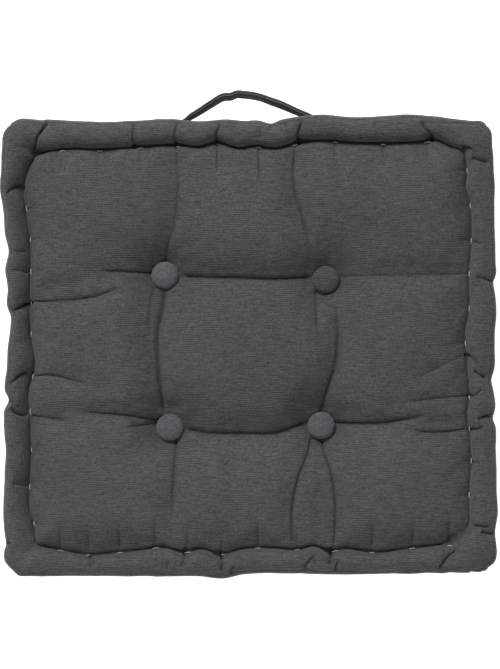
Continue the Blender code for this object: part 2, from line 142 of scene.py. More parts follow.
# Creases of the upper side, pulled in from a button or the groove:
# (points, depth of the soft valley, its reach, depth of the sharp core)
CREASES = in_metres([
    ([(-672, 653), (-419, 642), (0, 630), (198, 623), (395, 628), (613, 644)], 50, 120, 34),
    ([(-632, -750), (-494, -772), (-276, -785), (32, -791), (249, -781), (395, -742), (583, -680)], 50,
      120, 34),
    ([(-612, -728), (-494, -742), (-365, -757)], 8, 40, 8),
    ([(-780, 555), (-790, 436), (-811, 310), (-838, 190), (-848, 40), (-838, -125), (-818, -320),
      (-795, -470), (-771, -631)], 52, 120, 34),
    ([(-850, 570), (-893, 430), (-908, 260), (-905, 80)], 24, 80, 7),
    ([(625, 545), (618, 420), (622, 250), (637, 61)], 34, 100, 16),
    ([(761, 495), (783, 337), (796, 179), (795, 1), (773, -186), (726, -364), (682, -493), (654, -631)],
      44, 120, 30),
    ([(805, 278), (824, 120), (820, -58), (795, -216), (741, -394)], 10, 40, 12),
    ([(-780, 723), (-751, 891), (-692, 1068), (-657, 1286), (-646, 1543), (-655, 1829)], 34, 130, 11),
    ([(411, 1849), (411, 1466), (493, 1149), (613, 732)], 36, 140, 20),
    ([(-293, 1849), (-293, 1720), (-296, 1560)], 26, 90, 14),
    ([(77, 1829), (87, 1681), (102, 1490)], 30, 90, 16),
    ([(-1433, 683), (-1171, 685), (-988, 683), (-830, 675)], 30, 80, 24),
    ([(-2025, 417), (-1740, 426), (-1451, 453), (-1243, 517), (-1008, 589)], 36, 100, 22),
    ([(771, 644), (1087, 646), (1482, 653), (2016, 670)], 26, 120, 11),
    ([(711, -702), (929, -698), (1207, -692), (1462, -656), (1695, -613)], 50, 110, 34),
    ([(1378, -731), (1632, -767), (2016, -745)], 34, 80, 24),
    ([(1315, -514), (1632, -478), (2016, -441)], 22, 80, 11),
    ([(1460, -306), (1722, -188), (1957, -71)], 12, 70, 5),
    ([(-780, -690), (-944, -653), (-1099, -631), (-1383, -603), (-1632, -586)], 34, 80, 24),
    ([(-2025, -631), (-1803, -650), (-1581, -680)], 26, 70, 18),
    ([(-1166, -728), (-988, -718), (-790, -705)], 24, 60, 18),
    ([(-1996, -252), (-1740, -270), (-1571, -313), (-1403, -366)], 28, 70, 19),
    ([(-682, -789), (-682, -987), (-692, -1234), (-700, -1639)], 30, 100, 22),
    ([(652, -769), (677, -937), (736, -1138), (773, -1373), (764, -1856)], 40, 100, 26),
    ([(593, -779), (534, -967), (457, -1164), (393, -1482), (393, -1836)], 34, 120, 24),
])

# Wide hollows that the buttons pull across the filling: (points, depth, reach)
HOLLOWS = in_metres([
    ([(-775, 657), (181, 628), (700, 620)], 100, 200),
    ([(-731, -737), (32, -796), (657, -719)], 100, 200),
    ([(-775, 657), (-858, 39), (-731, -737)], 95, 200),
    ([(700, 620), (790, 0), (657, -719)], 95, 200),
    ([(-775, 657), (-654, 1437), (-663, 1800)], 50, 180),
    ([(700, 620), (450, 1300), (416, 1800)], 50, 180),
    ([(-775, 657), (-1000, 1180), (-1140, 1665)], 50, 140),
    ([(-775, 657), (-1300, 620), (-2000, 520)], 45, 180),
    ([(-731, -737), (-1300, -640), (-2000, -640)], 45, 180),
    ([(700, 620), (1377, 668), (2000, 677)], 45, 180),
    ([(657, -719), (1400, -690), (2000, -680)], 55, 180),
    ([(-731, -737), (-691, -1153), (-709, -1800)], 45, 180),
    ([(657, -719), (640, -1300), (600, -1800)], 50, 220),
    ([(685, 655), (695, 655)], 205, 200),
    ([(-795, 675), (-785, 675)], 165, 200),
    ([(-745, -725), (-735, -725)], 150, 180),
    ([(640, -705), (655, -705)], 155, 180),
])

# Folds across the roll, from the groove outwards: (points, depth, reach, sharp core, step)
ROLL_FOLDS = in_metres([
    ([(-1833, 2075), (-1890, 1981), (-1933, 1899), (-1957, 1817), (-1975, 1731)], 36, 60, 40, 0),
    ([(-2064, 1490), (-2109, 1465), (-2157, 1436), (-2218, 1390)], 30, 40, 24, 0),
    ([(-1058, 1807), (-1058, 1946), (-1054, 2065)], 20, 40, 16, 8),
    ([(-680, 1827), (-675, 1946), (-655, 2065)], 22, 50, 14, 6),
    ([(-308, 1847), (-298, 1926), (-268, 2045)], 26, 50, 18, 6),
    ([(95, 1887), (99, 2006)], 14, 40, 8, 0),
    ([(318, 2055), (341, 1985)], 18, 50, 8, 0),
    ([(195, 2031), (177, 1962)], 16, 50, 4, 0),
    ([(447, 1847), (449, 1956), (471, 2075)], 40, 60, 36, 8),
    ([(1141, 1986), (1151, 2065)], 12, 30, 8, 0),
    ([(1568, 2060), (1594, 1999), (1640, 1935), (1697, 1882)], 30, 50, 28, 0),
    ([(1576, 2047), (1836, 2037), (2114, 2030)], 5, 30, 13, 0),
    ([(1925, 1813), (1966, 1806), (2025, 1785)], 16, 40, 20, 0),
    ([(2007, 1715), (2075, 1703), (2193, 1674)], 26, 50, 24, 0),
    ([(2025, 964), (2104, 929)], 18, 40, 14, 0),
    ([(2045, 636), (2134, 621), (2243, 596)], 26, 50, 18, 0),
    ([(1966, -58), (2016, -104), (2098, -167)], 18, 40, 16, 0),
    ([(2030, -217), (2093, -249), (2175, -290)], 30, 50, 24, 0),
    ([(1975, -444), (2048, -431), (2116, -381)], 20, 40, 16, 0),
    ([(2071, -658), (2121, -640), (2166, -631), (2211, -628)], 26, 50, 30, 0),
    ([(1971, -748), (2012, -751), (2066, -744), (2139, -719)], 22, 40, 20, 0),
    ([(2015, -1041), (2094, -1066)], 14, 40, 12, 0),
    ([(2016, -1627), (2075, -1625), (2130, -1630), (2193, -1643)], 22, 30, 28, 0),
    ([(2098, -1677), (2166, -1694), (2243, -1701)], 22, 30, 28, 0),
    ([(1875, -1815), (1812, -1888), (1766, -1956), (1721, -2038)], 38, 60, 34, -10),
    ([(2005, -2044), (2094, -2039), (2144, -2019)], 16, 30, 16, 0),
    ([(-1471, -1893), (-1448, -1924), (-1441, -2015)], 22, 50, 16, 0),
    ([(-740, -1938), (-745, -2033)], 14, 40, 10, 0),
    ([(-595, -1838), (-597, -1897), (-604, -2011)], 26, 50, 20, 0),
    ([(-261, -1856), (-255, -1924), (-248, -2070)], 36, 50, 34, 8),
    ([(-150, -1993), (-173, -2070)], 16, 40, 12, 0),
    ([(584, -1888), (540, -1952), (490, -2038)], 24, 40, 22, 0),
    ([(604, -1874), (590, -1997)], 18, 40, 14, 0),
    ([(745, -1829), (740, -1906), (722, -1997)], 36, 50, 34, 6),
    ([(804, -1943), (776, -2052)], 20, 40, 16, 0),
    ([(-2025, 874), (-2094, 869), (-2183, 874)], 14, 50, 8, 0),
    ([(-2015, 676), (-2104, 701), (-2183, 696)], 16, 50, 10, 0),
    ([(-1989, 423), (-2048, 378), (-2111, 346), (-2182, 323)], 34, 50, 30, 0),
    ([(-1993, -232), (-2057, -253), (-2139, -308), (-2207, -331)], 36, 50, 30, 0),
    ([(-2134, -521), (-2161, -503), (-2193, -485)], 20, 40, 14, 0),
    ([(-2016, -630), (-2084, -612), (-2139, -585), (-2189, -544)], 36, 50, 28, 0),
    ([(-2015, -1270), (-2084, -1255), (-2164, -1240)], 20, 50, 12, 0),
    ([(-2225, -1784), (-2170, -1797)], 24, 40, 14, 0),
])

# Puff heights and dimples
PANEL_LIP = 0.0125                       # quick rise of the panel beside the groove
PANEL_LIP_REACH = 0.0040
PANEL_OVER = 0.002                       # the puffs' height over the frame's crown, before the hollows
PANEL_CROWN_REACH = 0.042
DIMPLE_REACH = 0.0150
DIMPLE_SEAT = 0.0112                     # level cloth under a button
BUTTON_GAP = 0.0012                      # from the foot of a button to the cloth it presses
UNDER_GROOVE = 0.010                     # lift of the lower panel at its groove
UNDER_GROOVE_REACH = 0.008
UNDER_DIMPLE_REACH = 0.022
FLOOR_PRESS = 0.0012                     # how far the weight presses the lower panel flat
CORNER_EASE = 0.022                      # how far a side's unevenness runs round its corner
LOW_OUTLINE = 0.7                        # the lower edge's share of the upper edge's unevenness
LOW_GROOVE = 0.5

# How far the inner half of each side's roll dips under its outer half
ROLL_TILTS = in_metres({"back": -24, "left": 88, "front": -32, "right": -54})

# The casing's mesh and its stuffing
CAGE_STEP = 0.005
ROLL_LINES = 7
SWELL_FRAMES = 16
SWELL_PRESSURE = 4.0
SWELL_CAP = 0.006
SLACK = 0.012                            # how much wider the cloth is cut than it lies
HELD = {"band": 0.72, "roll": 0.62, "seam": 0.90, "groove": 0.97, "floor": 0.85}   # 1 is sewn down
CREASE_HOLD = 0.55                       # how firmly the shallowest crease is held
CREASE_HOLD_RISE = 60.0                  # and how much more per metre of its depth
CREASE_HOLD_REACH = 0.006

# Seams, ripples and creases
SEAM_SINK = 0.0006
SEAM_STITCH = 0.0046
BAND_RIPPLE = 0.0007
PANEL_RIPPLE = 0.00028
GROOVE_REACH = 0.0019
ROW_GAP = 0.0048                         # height of the band's first row beside its seam
CREASE_FLOOR = EDGE - 1.7 * ROLL         # creases press only the cloth above this level
CORE_REACH = 0.0015
PINCH = 0.50                             # how far the cloth beside a crease is drawn towards it
PINCH_REACH = 0.0035
STEP_REACH = 0.009                       # how wide the raised side of a fold is
PLEAT_REACH = 0.0065
PLEAT_FADES = (0.25, 0.75)
FOLD_FADES = (0.10, 0.16)
SEWN_FADE = 0.06                         # share of a crease that fades where it is sewn down
OPEN_FADE = 0.38                         # and where it runs out
EDGE_HOLD = 0.030                        # a crease that ends this near the edge is sewn down there
BUTTON_HOLD = 0.0135                     # and this near the middle of a button
CORE_SHADE = 0.0025                      # depth of a sharp core whose painted shade is full
GATHER_SHADE = 0.34                      # painted shade round a button, where the gathered cloth lies in shadow
GATHER_START = 0.012
GATHER_REACH = 0.013

# Threads
THREAD = 0.0009
TAB_THREAD = 0.75                        # the tabs are sewn with a finer thread
STITCH_LENGTH = 0.0068
STITCH_DIVE = 0.0011                     # how deep a stitch's ends go
THREAD_TWIST = 22.0
THREAD_LIFT = 0.0007                     # how far a running stitch stands off the cloth

# From the groove inwards to the running stitches
SINKS = in_metres({"back": 28, "left": 17, "front": -2, "right": -2})

# The carrying strap
STRAP_ROOTS = (-0.070, 0.078)
STRAP_APEX = -0.010
STRAP_TAB = 0.034
STRAP_THICK = 0.0042
STRAP_WIDE = 0.0200
STRAP_TILT = math.radians(5.5)
STRAP_BOW = 1.05
STRAP_FLAT = (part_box("handle_end_left")[0].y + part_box("handle_end_left")[1].y) / 2.0
STRAP_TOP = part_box("handle_strap")[1].y + 0.0006
STRAP_MIDDLE = EDGE / 2.0
TAB_SINK = 0.0022                        # how far the stitching pulls the tabs into the band
TAB_BOX = 0.0072                         # half the height of the sewn box
TAB_NEAR = 0.007                         # from the loop's root to the sewn box
TAB_FAR = 0.004                          # from the sewn box to the tab's end
TAB_PITCH = 0.0034
TAB_STITCH = 0.0027

# Small kinks of the loop: (place, reach, height)
STRAP_KINKS = in_metres([(-178, 34, -13), (-262, 50, 7), (-105, 30, 5), (200, 60, -6)])

# Outline across the folded tape, with the open fold along its upper edge:
# (outwards, up), as shares of half its thickness and half its width
STRAP_OUTLINE = [
    (1.0, -0.82), (1.0, -0.72), (0.86, -0.66), (1.0, -0.60), (1.0, -0.20), (1.0, 0.20), (1.0, 0.60),
    (0.84, 0.66), (1.0, 0.72), (1.0, 0.856), (0.72, 0.99), (0.34, 1.0), (0.10, 0.96), (-0.02, 0.83),
    (-0.18, 0.94), (-0.46, 0.90), (-0.84, 0.84), (-1.0, 0.66), (-1.0, 0.60), (-0.84, 0.50), (-1.0, 0.40),
    (-1.0, 0.0), (-1.0, -0.60), (-0.86, -0.66), (-1.0, -0.72), (-1.0, -0.82), (-0.5, -1.0), (0.5, -1.0),
]


# --- number helpers -----------------------------------------------------------------------

def through(points, at):
    """Values of a smooth line through a few (place, value) points."""
    place, value = np.array(sorted(points)).T
    slope = np.gradient(value, place)
    at = np.clip(at, place[0], place[-1])
    low = np.clip(np.searchsorted(place, at) - 1, 0, len(place) - 2)
    span = place[low + 1] - place[low]
    share = (at - place[low]) / span
    rest = 1.0 - share
    return ((1.0 + 2.0 * share) * rest ** 2 * value[low] + share * rest ** 2 * span * slope[low]
            + share ** 2 * (3.0 - 2.0 * share) * value[low + 1]
            - share ** 2 * rest * span * slope[low + 1])


def smooth(value):
    value = np.clip(value, 0.0, 1.0)
    return value * value * (3.0 - 2.0 * value)


def soft_noise(x, y, size, seed):
    """Smooth noise from -1 to 1, with bumps about as wide as size."""
    rng = np.random.default_rng(seed)
    table = rng.uniform(-1.0, 1.0, (64, 64))
    px, py = x / size + 200.0, y / size + 200.0
    ix, iy = np.floor(px).astype(int), np.floor(py).astype(int)
    fx, fy = smooth(px - ix), smooth(py - iy)

    def corner(dx, dy):
        return table[(ix + dx) % 64, (iy + dy) % 64]

    low = corner(0, 0) * (1.0 - fx) + corner(1, 0) * fx
    high = corner(0, 1) * (1.0 - fx) + corner(1, 1) * fx
    return low * (1.0 - fy) + high * fy


def curve_points(points, count):
    """Points on a smooth curve through a few given ones."""
    given = np.array(points, float)
    gaps = np.linalg.norm(np.diff(given, axis=0), axis=1)
    place = np.concatenate([[0.0], np.cumsum(gaps)])
    at = np.linspace(0.0, place[-1], count)
    if len(given) == 2:
        return np.stack([np.interp(at, place, column) for column in given.T], axis=1)
    return np.stack([through(list(zip(place, column)), at) for column in given.T], axis=1)


def nearest_on(x, y, points, count=28):
    """From each place to a line: distance, step, side of the line, and share of its length."""
    line = curve_points(points, count)
    best = np.full(x.shape, 1.0)
    step_x, step_y = np.zeros(x.shape), np.zeros(x.shape)
    side, along = np.ones(x.shape), np.zeros(x.shape)
    for index in range(len(line) - 1):
        start, step = line[index], line[index + 1] - line[index]
        share = ((x - start[0]) * step[0] + (y - start[1]) * step[1]) / np.hypot(*step) ** 2
        held = np.clip(share, 0.0, 1.0)
        dx, dy = start[0] + held * step[0] - x, start[1] + held * step[1] - y
        away = np.hypot(dx, dy)
        nearer = away < best
        best = np.where(nearer, away, best)
        step_x, step_y = np.where(nearer, dx, step_x), np.where(nearer, dy, step_y)
        side = np.where(nearer, np.sign(step[1] * dx - step[0] * dy), side)
        along = np.where(nearer, (index + held) / (len(line) - 1), along)
    return best, step_x, step_y, side, along


def line_distance(x, y, points):
    return nearest_on(x, y, points, 24)[0]


def middle(box):
    """Place of a box's middle, seen from above."""
    low, high = box
    return (low.x + high.x) / 2.0, (low.y + high.y) / 2.0


def button_distance(x, y, box):
    at_x, at_y = middle(box)
    return np.hypot(x - at_x, y - at_y)


# --- the casing ---------------------------------------------------------------------------

def band_rows():
    """(inset, height) of each row of the band, from the lower seam to the upper one."""
    upper = []
    for degrees in (45.0, 23.0, 0.0, -22.0, -42.0, -58.0):
        turn = math.radians(degrees)
        upper.append((ROLL * (1.0 - math.cos(turn)), EDGE - ROLL + ROLL * math.sin(turn)))
    upper += [(0.0082, 0.0695), (0.0074, 0.0665), (0.0062, 0.0610), (0.0054, 0.0540)]
    lower = [(inset, EDGE - height) for inset, height in upper]
    return lower + [(0.0052, EDGE / 2.0)] + upper[::-1]


def cage_lines(half):
    """Places of the cage's lines on one half, from the edge to the middle."""
    roll = [half - ROLL_LAY * (index + 1) / ROLL_LINES for index in range(ROLL_LINES)]
    start = half - ROLL_LAY
    near = [start - 0.0012, start - 0.0034, start - 0.0068]
    count = int(near[-1] / CAGE_STEP)
    return roll + near + [near[-1] * (1.0 - (index + 1) / count) for index in range(count - 1)]


def casing_cage():
    """A closed box of quads with its lines where the cushion needs them."""
    rows = band_rows()
    bm = bmesh.new()
    bmesh.ops.create_cube(bm, size=2.0)
    for vert in bm.verts:
        vert.co = (vert.co.x * HALF_X, vert.co.y * HALF_Y, (vert.co.z + 1.0) * (len(rows) - 1) / 2.0)

    def cut(axis, height):
        place, normal = [0.0, 0.0, 0.0], [0.0, 0.0, 0.0]
        place[axis], normal[axis] = height, 1.0
        everything = bm.verts[:] + bm.edges[:] + bm.faces[:]
        bmesh.ops.bisect_plane(bm, geom=everything, plane_co=place, plane_no=normal)

    for axis, half in ((0, HALF_X), (1, HALF_Y)):
        for line in cage_lines(half):
            cut(axis, line)
            cut(axis, -line)
        cut(axis, 0.0)
    for row in range(1, len(rows) - 1):
        cut(2, float(row))
    mesh = bpy.data.meshes.new("casing")
    bm.to_mesh(mesh)
    bm.free()
    return mesh


def new_mesh(name, points, faces):
    mesh = bpy.data.meshes.new(name)
    mesh.from_pydata(points, [], faces)
    mesh.update()
    smooth_faces(mesh)
    return mesh


def linked(name, data):
    obj = bpy.data.objects.new(name, data)
    bpy.context.scene.collection.objects.link(obj)
    return obj


def field_rows(items, field):
    """A field of many mesh items, one row of three numbers each."""
    flat = np.zeros(len(items) * 3, np.float32)
    items.foreach_get(field, flat)
    return flat.reshape(-1, 3).astype(float)


def mesh_points(mesh):
    return field_rows(mesh.vertices, "co")


def cage_places(mesh):
    """Where each point lay in the cage, before the cushion got its form."""
    return field_rows(mesh.attributes["lay"].data, "vector")


def set_points(mesh, points):
    mesh.vertices.foreach_set("co", points.astype(np.float32).ravel())
    mesh.update()


def keep_on_points(mesh, name, values):
    """Stores a number or a place with each point of a mesh."""
    kind, field = ("FLOAT", "value") if values.ndim == 1 else ("FLOAT_VECTOR", "vector")
    attribute = mesh.attributes.new(name, kind, "POINT")
    attribute.data.foreach_set(field, values.astype(np.float32).ravel())


def face_corners(mesh):
    """The face and the vertex of each face corner."""
    totals = np.zeros(len(mesh.polygons), np.int32)
    mesh.polygons.foreach_get("loop_total", totals)
    vertex = np.zeros(len(mesh.loops), np.int32)
    mesh.loops.foreach_get("vertex_index", vertex)
    return np.repeat(np.arange(len(totals)), totals), vertex


def lay_uv(mesh, u, v):
    """Places the weave on each face corner, in metres."""
    layer = mesh.uv_layers.new(name="cloth")
    layer.data.foreach_set("uv", np.stack([u, v], axis=1).astype(np.float32).ravel())


def smooth_faces(mesh):
    mesh.polygons.foreach_set("use_smooth", np.ones(len(mesh.polygons), bool))


def chosen(obj):
    bpy.ops.object.select_all(action="DESELECT")
    bpy.context.view_layer.objects.active = obj
    obj.select_set(True)


def edit_all(obj):
    """Opens a mesh for editing with all of it selected."""
    chosen(obj)
    bpy.ops.object.mode_set(mode="EDIT")
    bpy.ops.mesh.select_all(action="SELECT")


def face_outwards(obj):
    edit_all(obj)
    bpy.ops.mesh.normals_make_consistent(inside=False)
    bpy.ops.object.mode_set(mode="OBJECT")


def apply_modifier(obj, modifier):
    chosen(obj)
    bpy.ops.object.modifier_apply(modifier=modifier.name)


def subdivide(obj, levels):
    modifier = obj.modifiers.new("smooth", "SUBSURF")
    modifier.levels = levels
    modifier.render_levels = levels
    apply_modifier(obj, modifier)


def at_corner(x, y, values):
    back = np.where(x < 0.0, values["back_left"], values["back_right"])
    front = np.where(x < 0.0, values["front_left"], values["front_right"])
    return np.where(y > 0.0, back, front)


def corner_radius(x, y, share, inside):
    """Radius of a ring's corner: from the outline's at share 0 to the groove's at share 1."""
    ring = at_corner(x, y, OUTER_CORNERS) * (1.0 - share) + at_corner(x, y, GROOVE_CORNERS) * share
    return ring * np.exp(-inside / 0.03)


def side_shift(side, place, share, inside, low_half):
    """How far a side's unevenness moves a ring inwards at this place along it."""
    place = np.where(low_half, -place, place)
    outline = through(OUTLINES[side], place) * np.where(low_half, LOW_OUTLINE, 1.0)
    groove = (through(GROOVES[side], place) - GROOVE_OUT) * np.where(low_half, LOW_GROOVE, 1.0)
    turn = SEAM_TURN + share * (GROOVE_TURN - SEAM_TURN)
    across = (1.0 - np.cos(turn)) / (1.0 - math.cos(GROOVE_TURN))
    across = np.where(share > 0.0, across, 0.0)
    return (outline * (1.0 - across) + groove * across) * np.exp(-inside / 0.010)


def puff_height(x, y, inside):
    """Height of the upper panel over its plan, before creases."""
    ease = 1.0 + 0.6 * smooth((x - 0.15) / 0.03) + 0.3 * smooth((-y - 0.135) / 0.03)
    gentle = 1.0 + 0.6 * smooth((-y - 0.10) / 0.06)
    lip = PANEL_LIP * (1.0 - np.exp(-inside / (PANEL_LIP_REACH * ease)))
    crown = CROWN + PANEL_OVER - GROOVE_Z - PANEL_LIP
    height = GROOVE_Z + lip + crown * (1.0 - np.exp(-inside / (PANEL_CROWN_REACH * gentle)))
    hollow = np.zeros(x.shape)
    for line, depth, reach in HOLLOWS:
        hollow = np.maximum(hollow, depth * np.exp(-line_distance(x, y, line) / reach))
    height = height - hollow * smooth(inside / 0.020)
    for box in TOP_BUTTONS.values():
        past = np.maximum(button_distance(x, y, box) - DIMPLE_SEAT, 0.0)
        seat = box[0].z - BUTTON_GAP
        height = seat + (height - seat) * (1.0 - np.exp(-past / DIMPLE_REACH))
    return height


def under_height(x, y, inside):
    """Height of the lower panel: flat on the floor, pulled up at the buttons and the groove."""
    height = UNDER_GROOVE * np.exp(-inside / UNDER_GROOVE_REACH) - FLOOR_PRESS
    for box in LOW_BUTTONS.values():
        past = np.maximum(button_distance(x, y, box) - DIMPLE_SEAT, 0.0)
        seat = box[1].z + BUTTON_GAP
        height = height + (seat - height) * np.exp(-(past / UNDER_DIMPLE_REACH) ** 1.3)
    return height


def form_casing(mesh):
    """Gives the cage the cushion's form, and keeps each point's place in the cage."""
    lay = mesh_points(mesh)
    keep_on_points(mesh, "lay", lay)
    rows = np.array(band_rows())
    top_row = len(rows) - 1
    out_x, out_y = HALF_X - np.abs(lay[:, 0]), HALF_Y - np.abs(lay[:, 1])
    depth = np.minimum(out_x, out_y)
    level = np.rint(lay[:, 2]).astype(int)
    side = (depth < 1e-6) & (level > 0) & (level < top_row)
    upper = level > top_row / 2
    share = np.clip(depth / ROLL_LAY, 0.0, 1.0)
    inside = np.maximum(depth - ROLL_LAY, 0.0)
    turn = SEAM_TURN + share * (GROOVE_TURN - SEAM_TURN)
    inset = ROLL * (1.0 - np.cos(turn))
    inset = np.where(inside > 0.0, depth + (GROOVE_OUT - ROLL_LAY) * np.exp(-inside / 0.02), inset)
    inset = np.where(side, rows[level, 0], inset)
    x = lay[:, 0] * (HALF_X - inset) / np.maximum(HALF_X - depth, 1e-6)
    y = lay[:, 1] * (HALF_Y - inset) / np.maximum(HALF_Y - depth, 1e-6)

    # Round the corners of each ring
    radius = corner_radius(x, y, share, inside) - np.where(share < 1.0, inset * 0.3, 0.0)
    radius = np.maximum(radius, 0.002)
    centre_x, centre_y = HALF_X - inset - radius, HALF_Y - inset - radius
    past_x, past_y = np.abs(x) - centre_x, np.abs(y) - centre_y
    in_corner = (past_x > 0.0) & (past_y > 0.0)
    ring_like = np.maximum(np.maximum(past_x, past_y), 1e-9)
    power = 2.0 - at_corner(x, y, CORNER_CUTS)
    from_centre = (np.maximum(past_x, 0.0) ** power + np.maximum(past_y, 0.0) ** power) ** (1.0 / power)
    reach = ring_like / np.maximum(from_centre, 1e-9)
    x = np.where(in_corner, np.sign(x) * (centre_x + past_x * reach), x)
    y = np.where(in_corner, np.sign(y) * (centre_y + past_y * reach), y)

    # Each side's own unevenness and tilt
    straight = (x, y)
    plan = [x.copy(), y.copy()]
    near = [1.0 - smooth((out - depth) / CORNER_EASE) for out in (out_x, out_y)]
    tilt = np.zeros(len(lay))
    for name, (axis, sign) in SIDES.items():
        here = np.where(np.sign(lay[:, axis]) == sign, near[axis], 0.0)
        shift = side_shift(name, straight[1 - axis], share, inside, ~upper)
        plan[axis] -= sign * shift * here
        tilt += ROLL_TILTS[name] * here
    x, y = plan

    roll_z = EDGE - ROLL + ROLL * np.sin(turn)
    top_z = roll_z - tilt * smooth(share * 1.2)
    panel_z = puff_height(x, y, inside) - np.minimum(tilt, 0.0) * np.exp(-inside / 0.006)
    top_z = np.where(inside > 0.0, panel_z, top_z)
    low_z = np.where(inside > 0.0, under_height(x, y, inside), EDGE - roll_z)
    z = np.where(side, rows[level, 1], np.where(upper, top_z, low_z))
    set_points(mesh, np.stack([x, y, z], axis=1))


def held_cloth(mesh):
    """How firmly each point is held while the cushion is stuffed: 1 is sewn down, 0 is free."""
    x, y, _ = mesh_points(mesh).T
    lay = cage_places(mesh)
    depth = np.minimum(HALF_X - np.abs(lay[:, 0]), HALF_Y - np.abs(lay[:, 1]))
    top = lay[:, 2] > len(band_rows()) - 1.5
    under = lay[:, 2] < 0.5
    panel = top | under
    held = np.where(panel, 0.0, HELD["band"])
    held = np.where(panel & (depth < ROLL_LAY - 0.001), HELD["roll"], held)
    held = np.where(panel & (depth < 0.001), HELD["seam"], held)
    held = np.where(panel & (np.abs(depth - ROLL_LAY) < 0.002), HELD["groove"], held)
    held = np.where(under & (depth > ROLL_LAY + 0.002), HELD["floor"], held)
    for boxes, layer in ((TOP_BUTTONS, top), (LOW_BUTTONS, under)):
        for box in boxes.values():
            held = np.where(layer & (button_distance(x, y, box) < DIMPLE_SEAT + 0.001), 1.0, held)
    for line, pressed, _, _ in CREASES:
        firm = CREASE_HOLD + CREASE_HOLD_RISE * pressed
        pull = firm * np.exp(-(line_distance(x, y, line) / CREASE_HOLD_REACH) ** 2)
        held = np.where(top & (depth > ROLL_LAY), np.maximum(held, pull), held)
    return np.clip(held, 0.0, 1.0)


def swell(obj):
    """Stuffs the cover: cloth under pressure, held at its buttons, stitches and creases."""
    before = mesh_points(obj.data)
    group = obj.vertex_groups.new(name="held")
    for index, weight in enumerate(held_cloth(obj.data)):
        group.add([index], float(weight), "REPLACE")
    modifier = obj.modifiers.new("stuffing", "CLOTH")
    cloth = modifier.settings
    cloth.quality = 4
    cloth.mass = 0.15
    cloth.tension_stiffness = 15.0
    cloth.compression_stiffness = 15.0
    cloth.shear_stiffness = 5.0
    cloth.bending_stiffness = 0.15
    cloth.use_pressure = True
    cloth.uniform_pressure_force = SWELL_PRESSURE
    cloth.effector_weights.gravity = 0.0
    cloth.vertex_group_mass = group.name
    cloth.pin_stiffness = 1.0
    cloth.shrink_min = -SLACK
    modifier.collision_settings.use_collision = False
    modifier.point_cache.frame_start = 1
    modifier.point_cache.frame_end = SWELL_FRAMES
    for number in range(1, SWELL_FRAMES + 1):
        bpy.context.scene.frame_set(number)
    apply_modifier(obj, modifier)
    obj.vertex_groups.clear()
    moved = mesh_points(obj.data) - before
    length = np.maximum(np.linalg.norm(moved, axis=1), 1e-9)
    moved *= (SWELL_CAP * np.tanh(length / SWELL_CAP) / length)[:, None]
    set_points(obj.data, before + moved)
    bpy.context.scene.frame_set(1)


def end_fade(point):
    """Share of a crease over which its end fades."""
    at_edge = min(HALF_X - abs(point[0]), HALF_Y - abs(point[1])) < EDGE_HOLD
    at_button = any(button_distance(*point, box) < BUTTON_HOLD for box in TOP_BUTTONS.values())
    return SEWN_FADE if at_edge or at_button else OPEN_FADE


def seams_and_ripples(mesh, points):
    """At each point: seam depth, its puckers, the cloth's loose ripples, and the groove's painted shade."""
    x, y, z = points.T
    lay = cage_places(mesh)
    top_row = len(band_rows()) - 1
    out_x, out_y = HALF_X - np.abs(lay[:, 0]), HALF_Y - np.abs(lay[:, 1])
    depth = np.minimum(out_x, out_y)
    wall = (lay[:, 2] > 0.02) & (lay[:, 2] < top_row - 0.02)
    rows_off = np.minimum(lay[:, 2], top_row - lay[:, 2])
    groove = np.where(wall, 0.0, np.exp(-((depth - ROLL_LAY) / GROOVE_REACH) ** 2))
    gap = np.where(wall, rows_off * ROW_GAP, depth * 1.3)
    seam = SEAM_SINK * np.exp(-(gap / 0.0010) ** 2)
    corner = SEAM_SINK * np.exp(-((out_x + out_y) / 0.0014) ** 2)
    seam = np.maximum(seam, np.where(wall, corner, 0.0))
    along = np.where(out_x < out_y, y, x)
    pucker = 1.0 + 0.5 * np.sin(along / SEAM_STITCH * 2.0 * math.pi)
    loose = soft_noise(along, z, 0.016, 11) * 0.6 + soft_noise(along, z * 0.4, 0.007, 12) * 0.3
    level = soft_noise(x, y, 0.013, 13) * 0.6 + soft_noise(x, y, 0.006, 14) * 0.3
    ripple = np.where(wall, loose * BAND_RIPPLE, level * PANEL_RIPPLE)
    return seam, pucker, ripple, groove


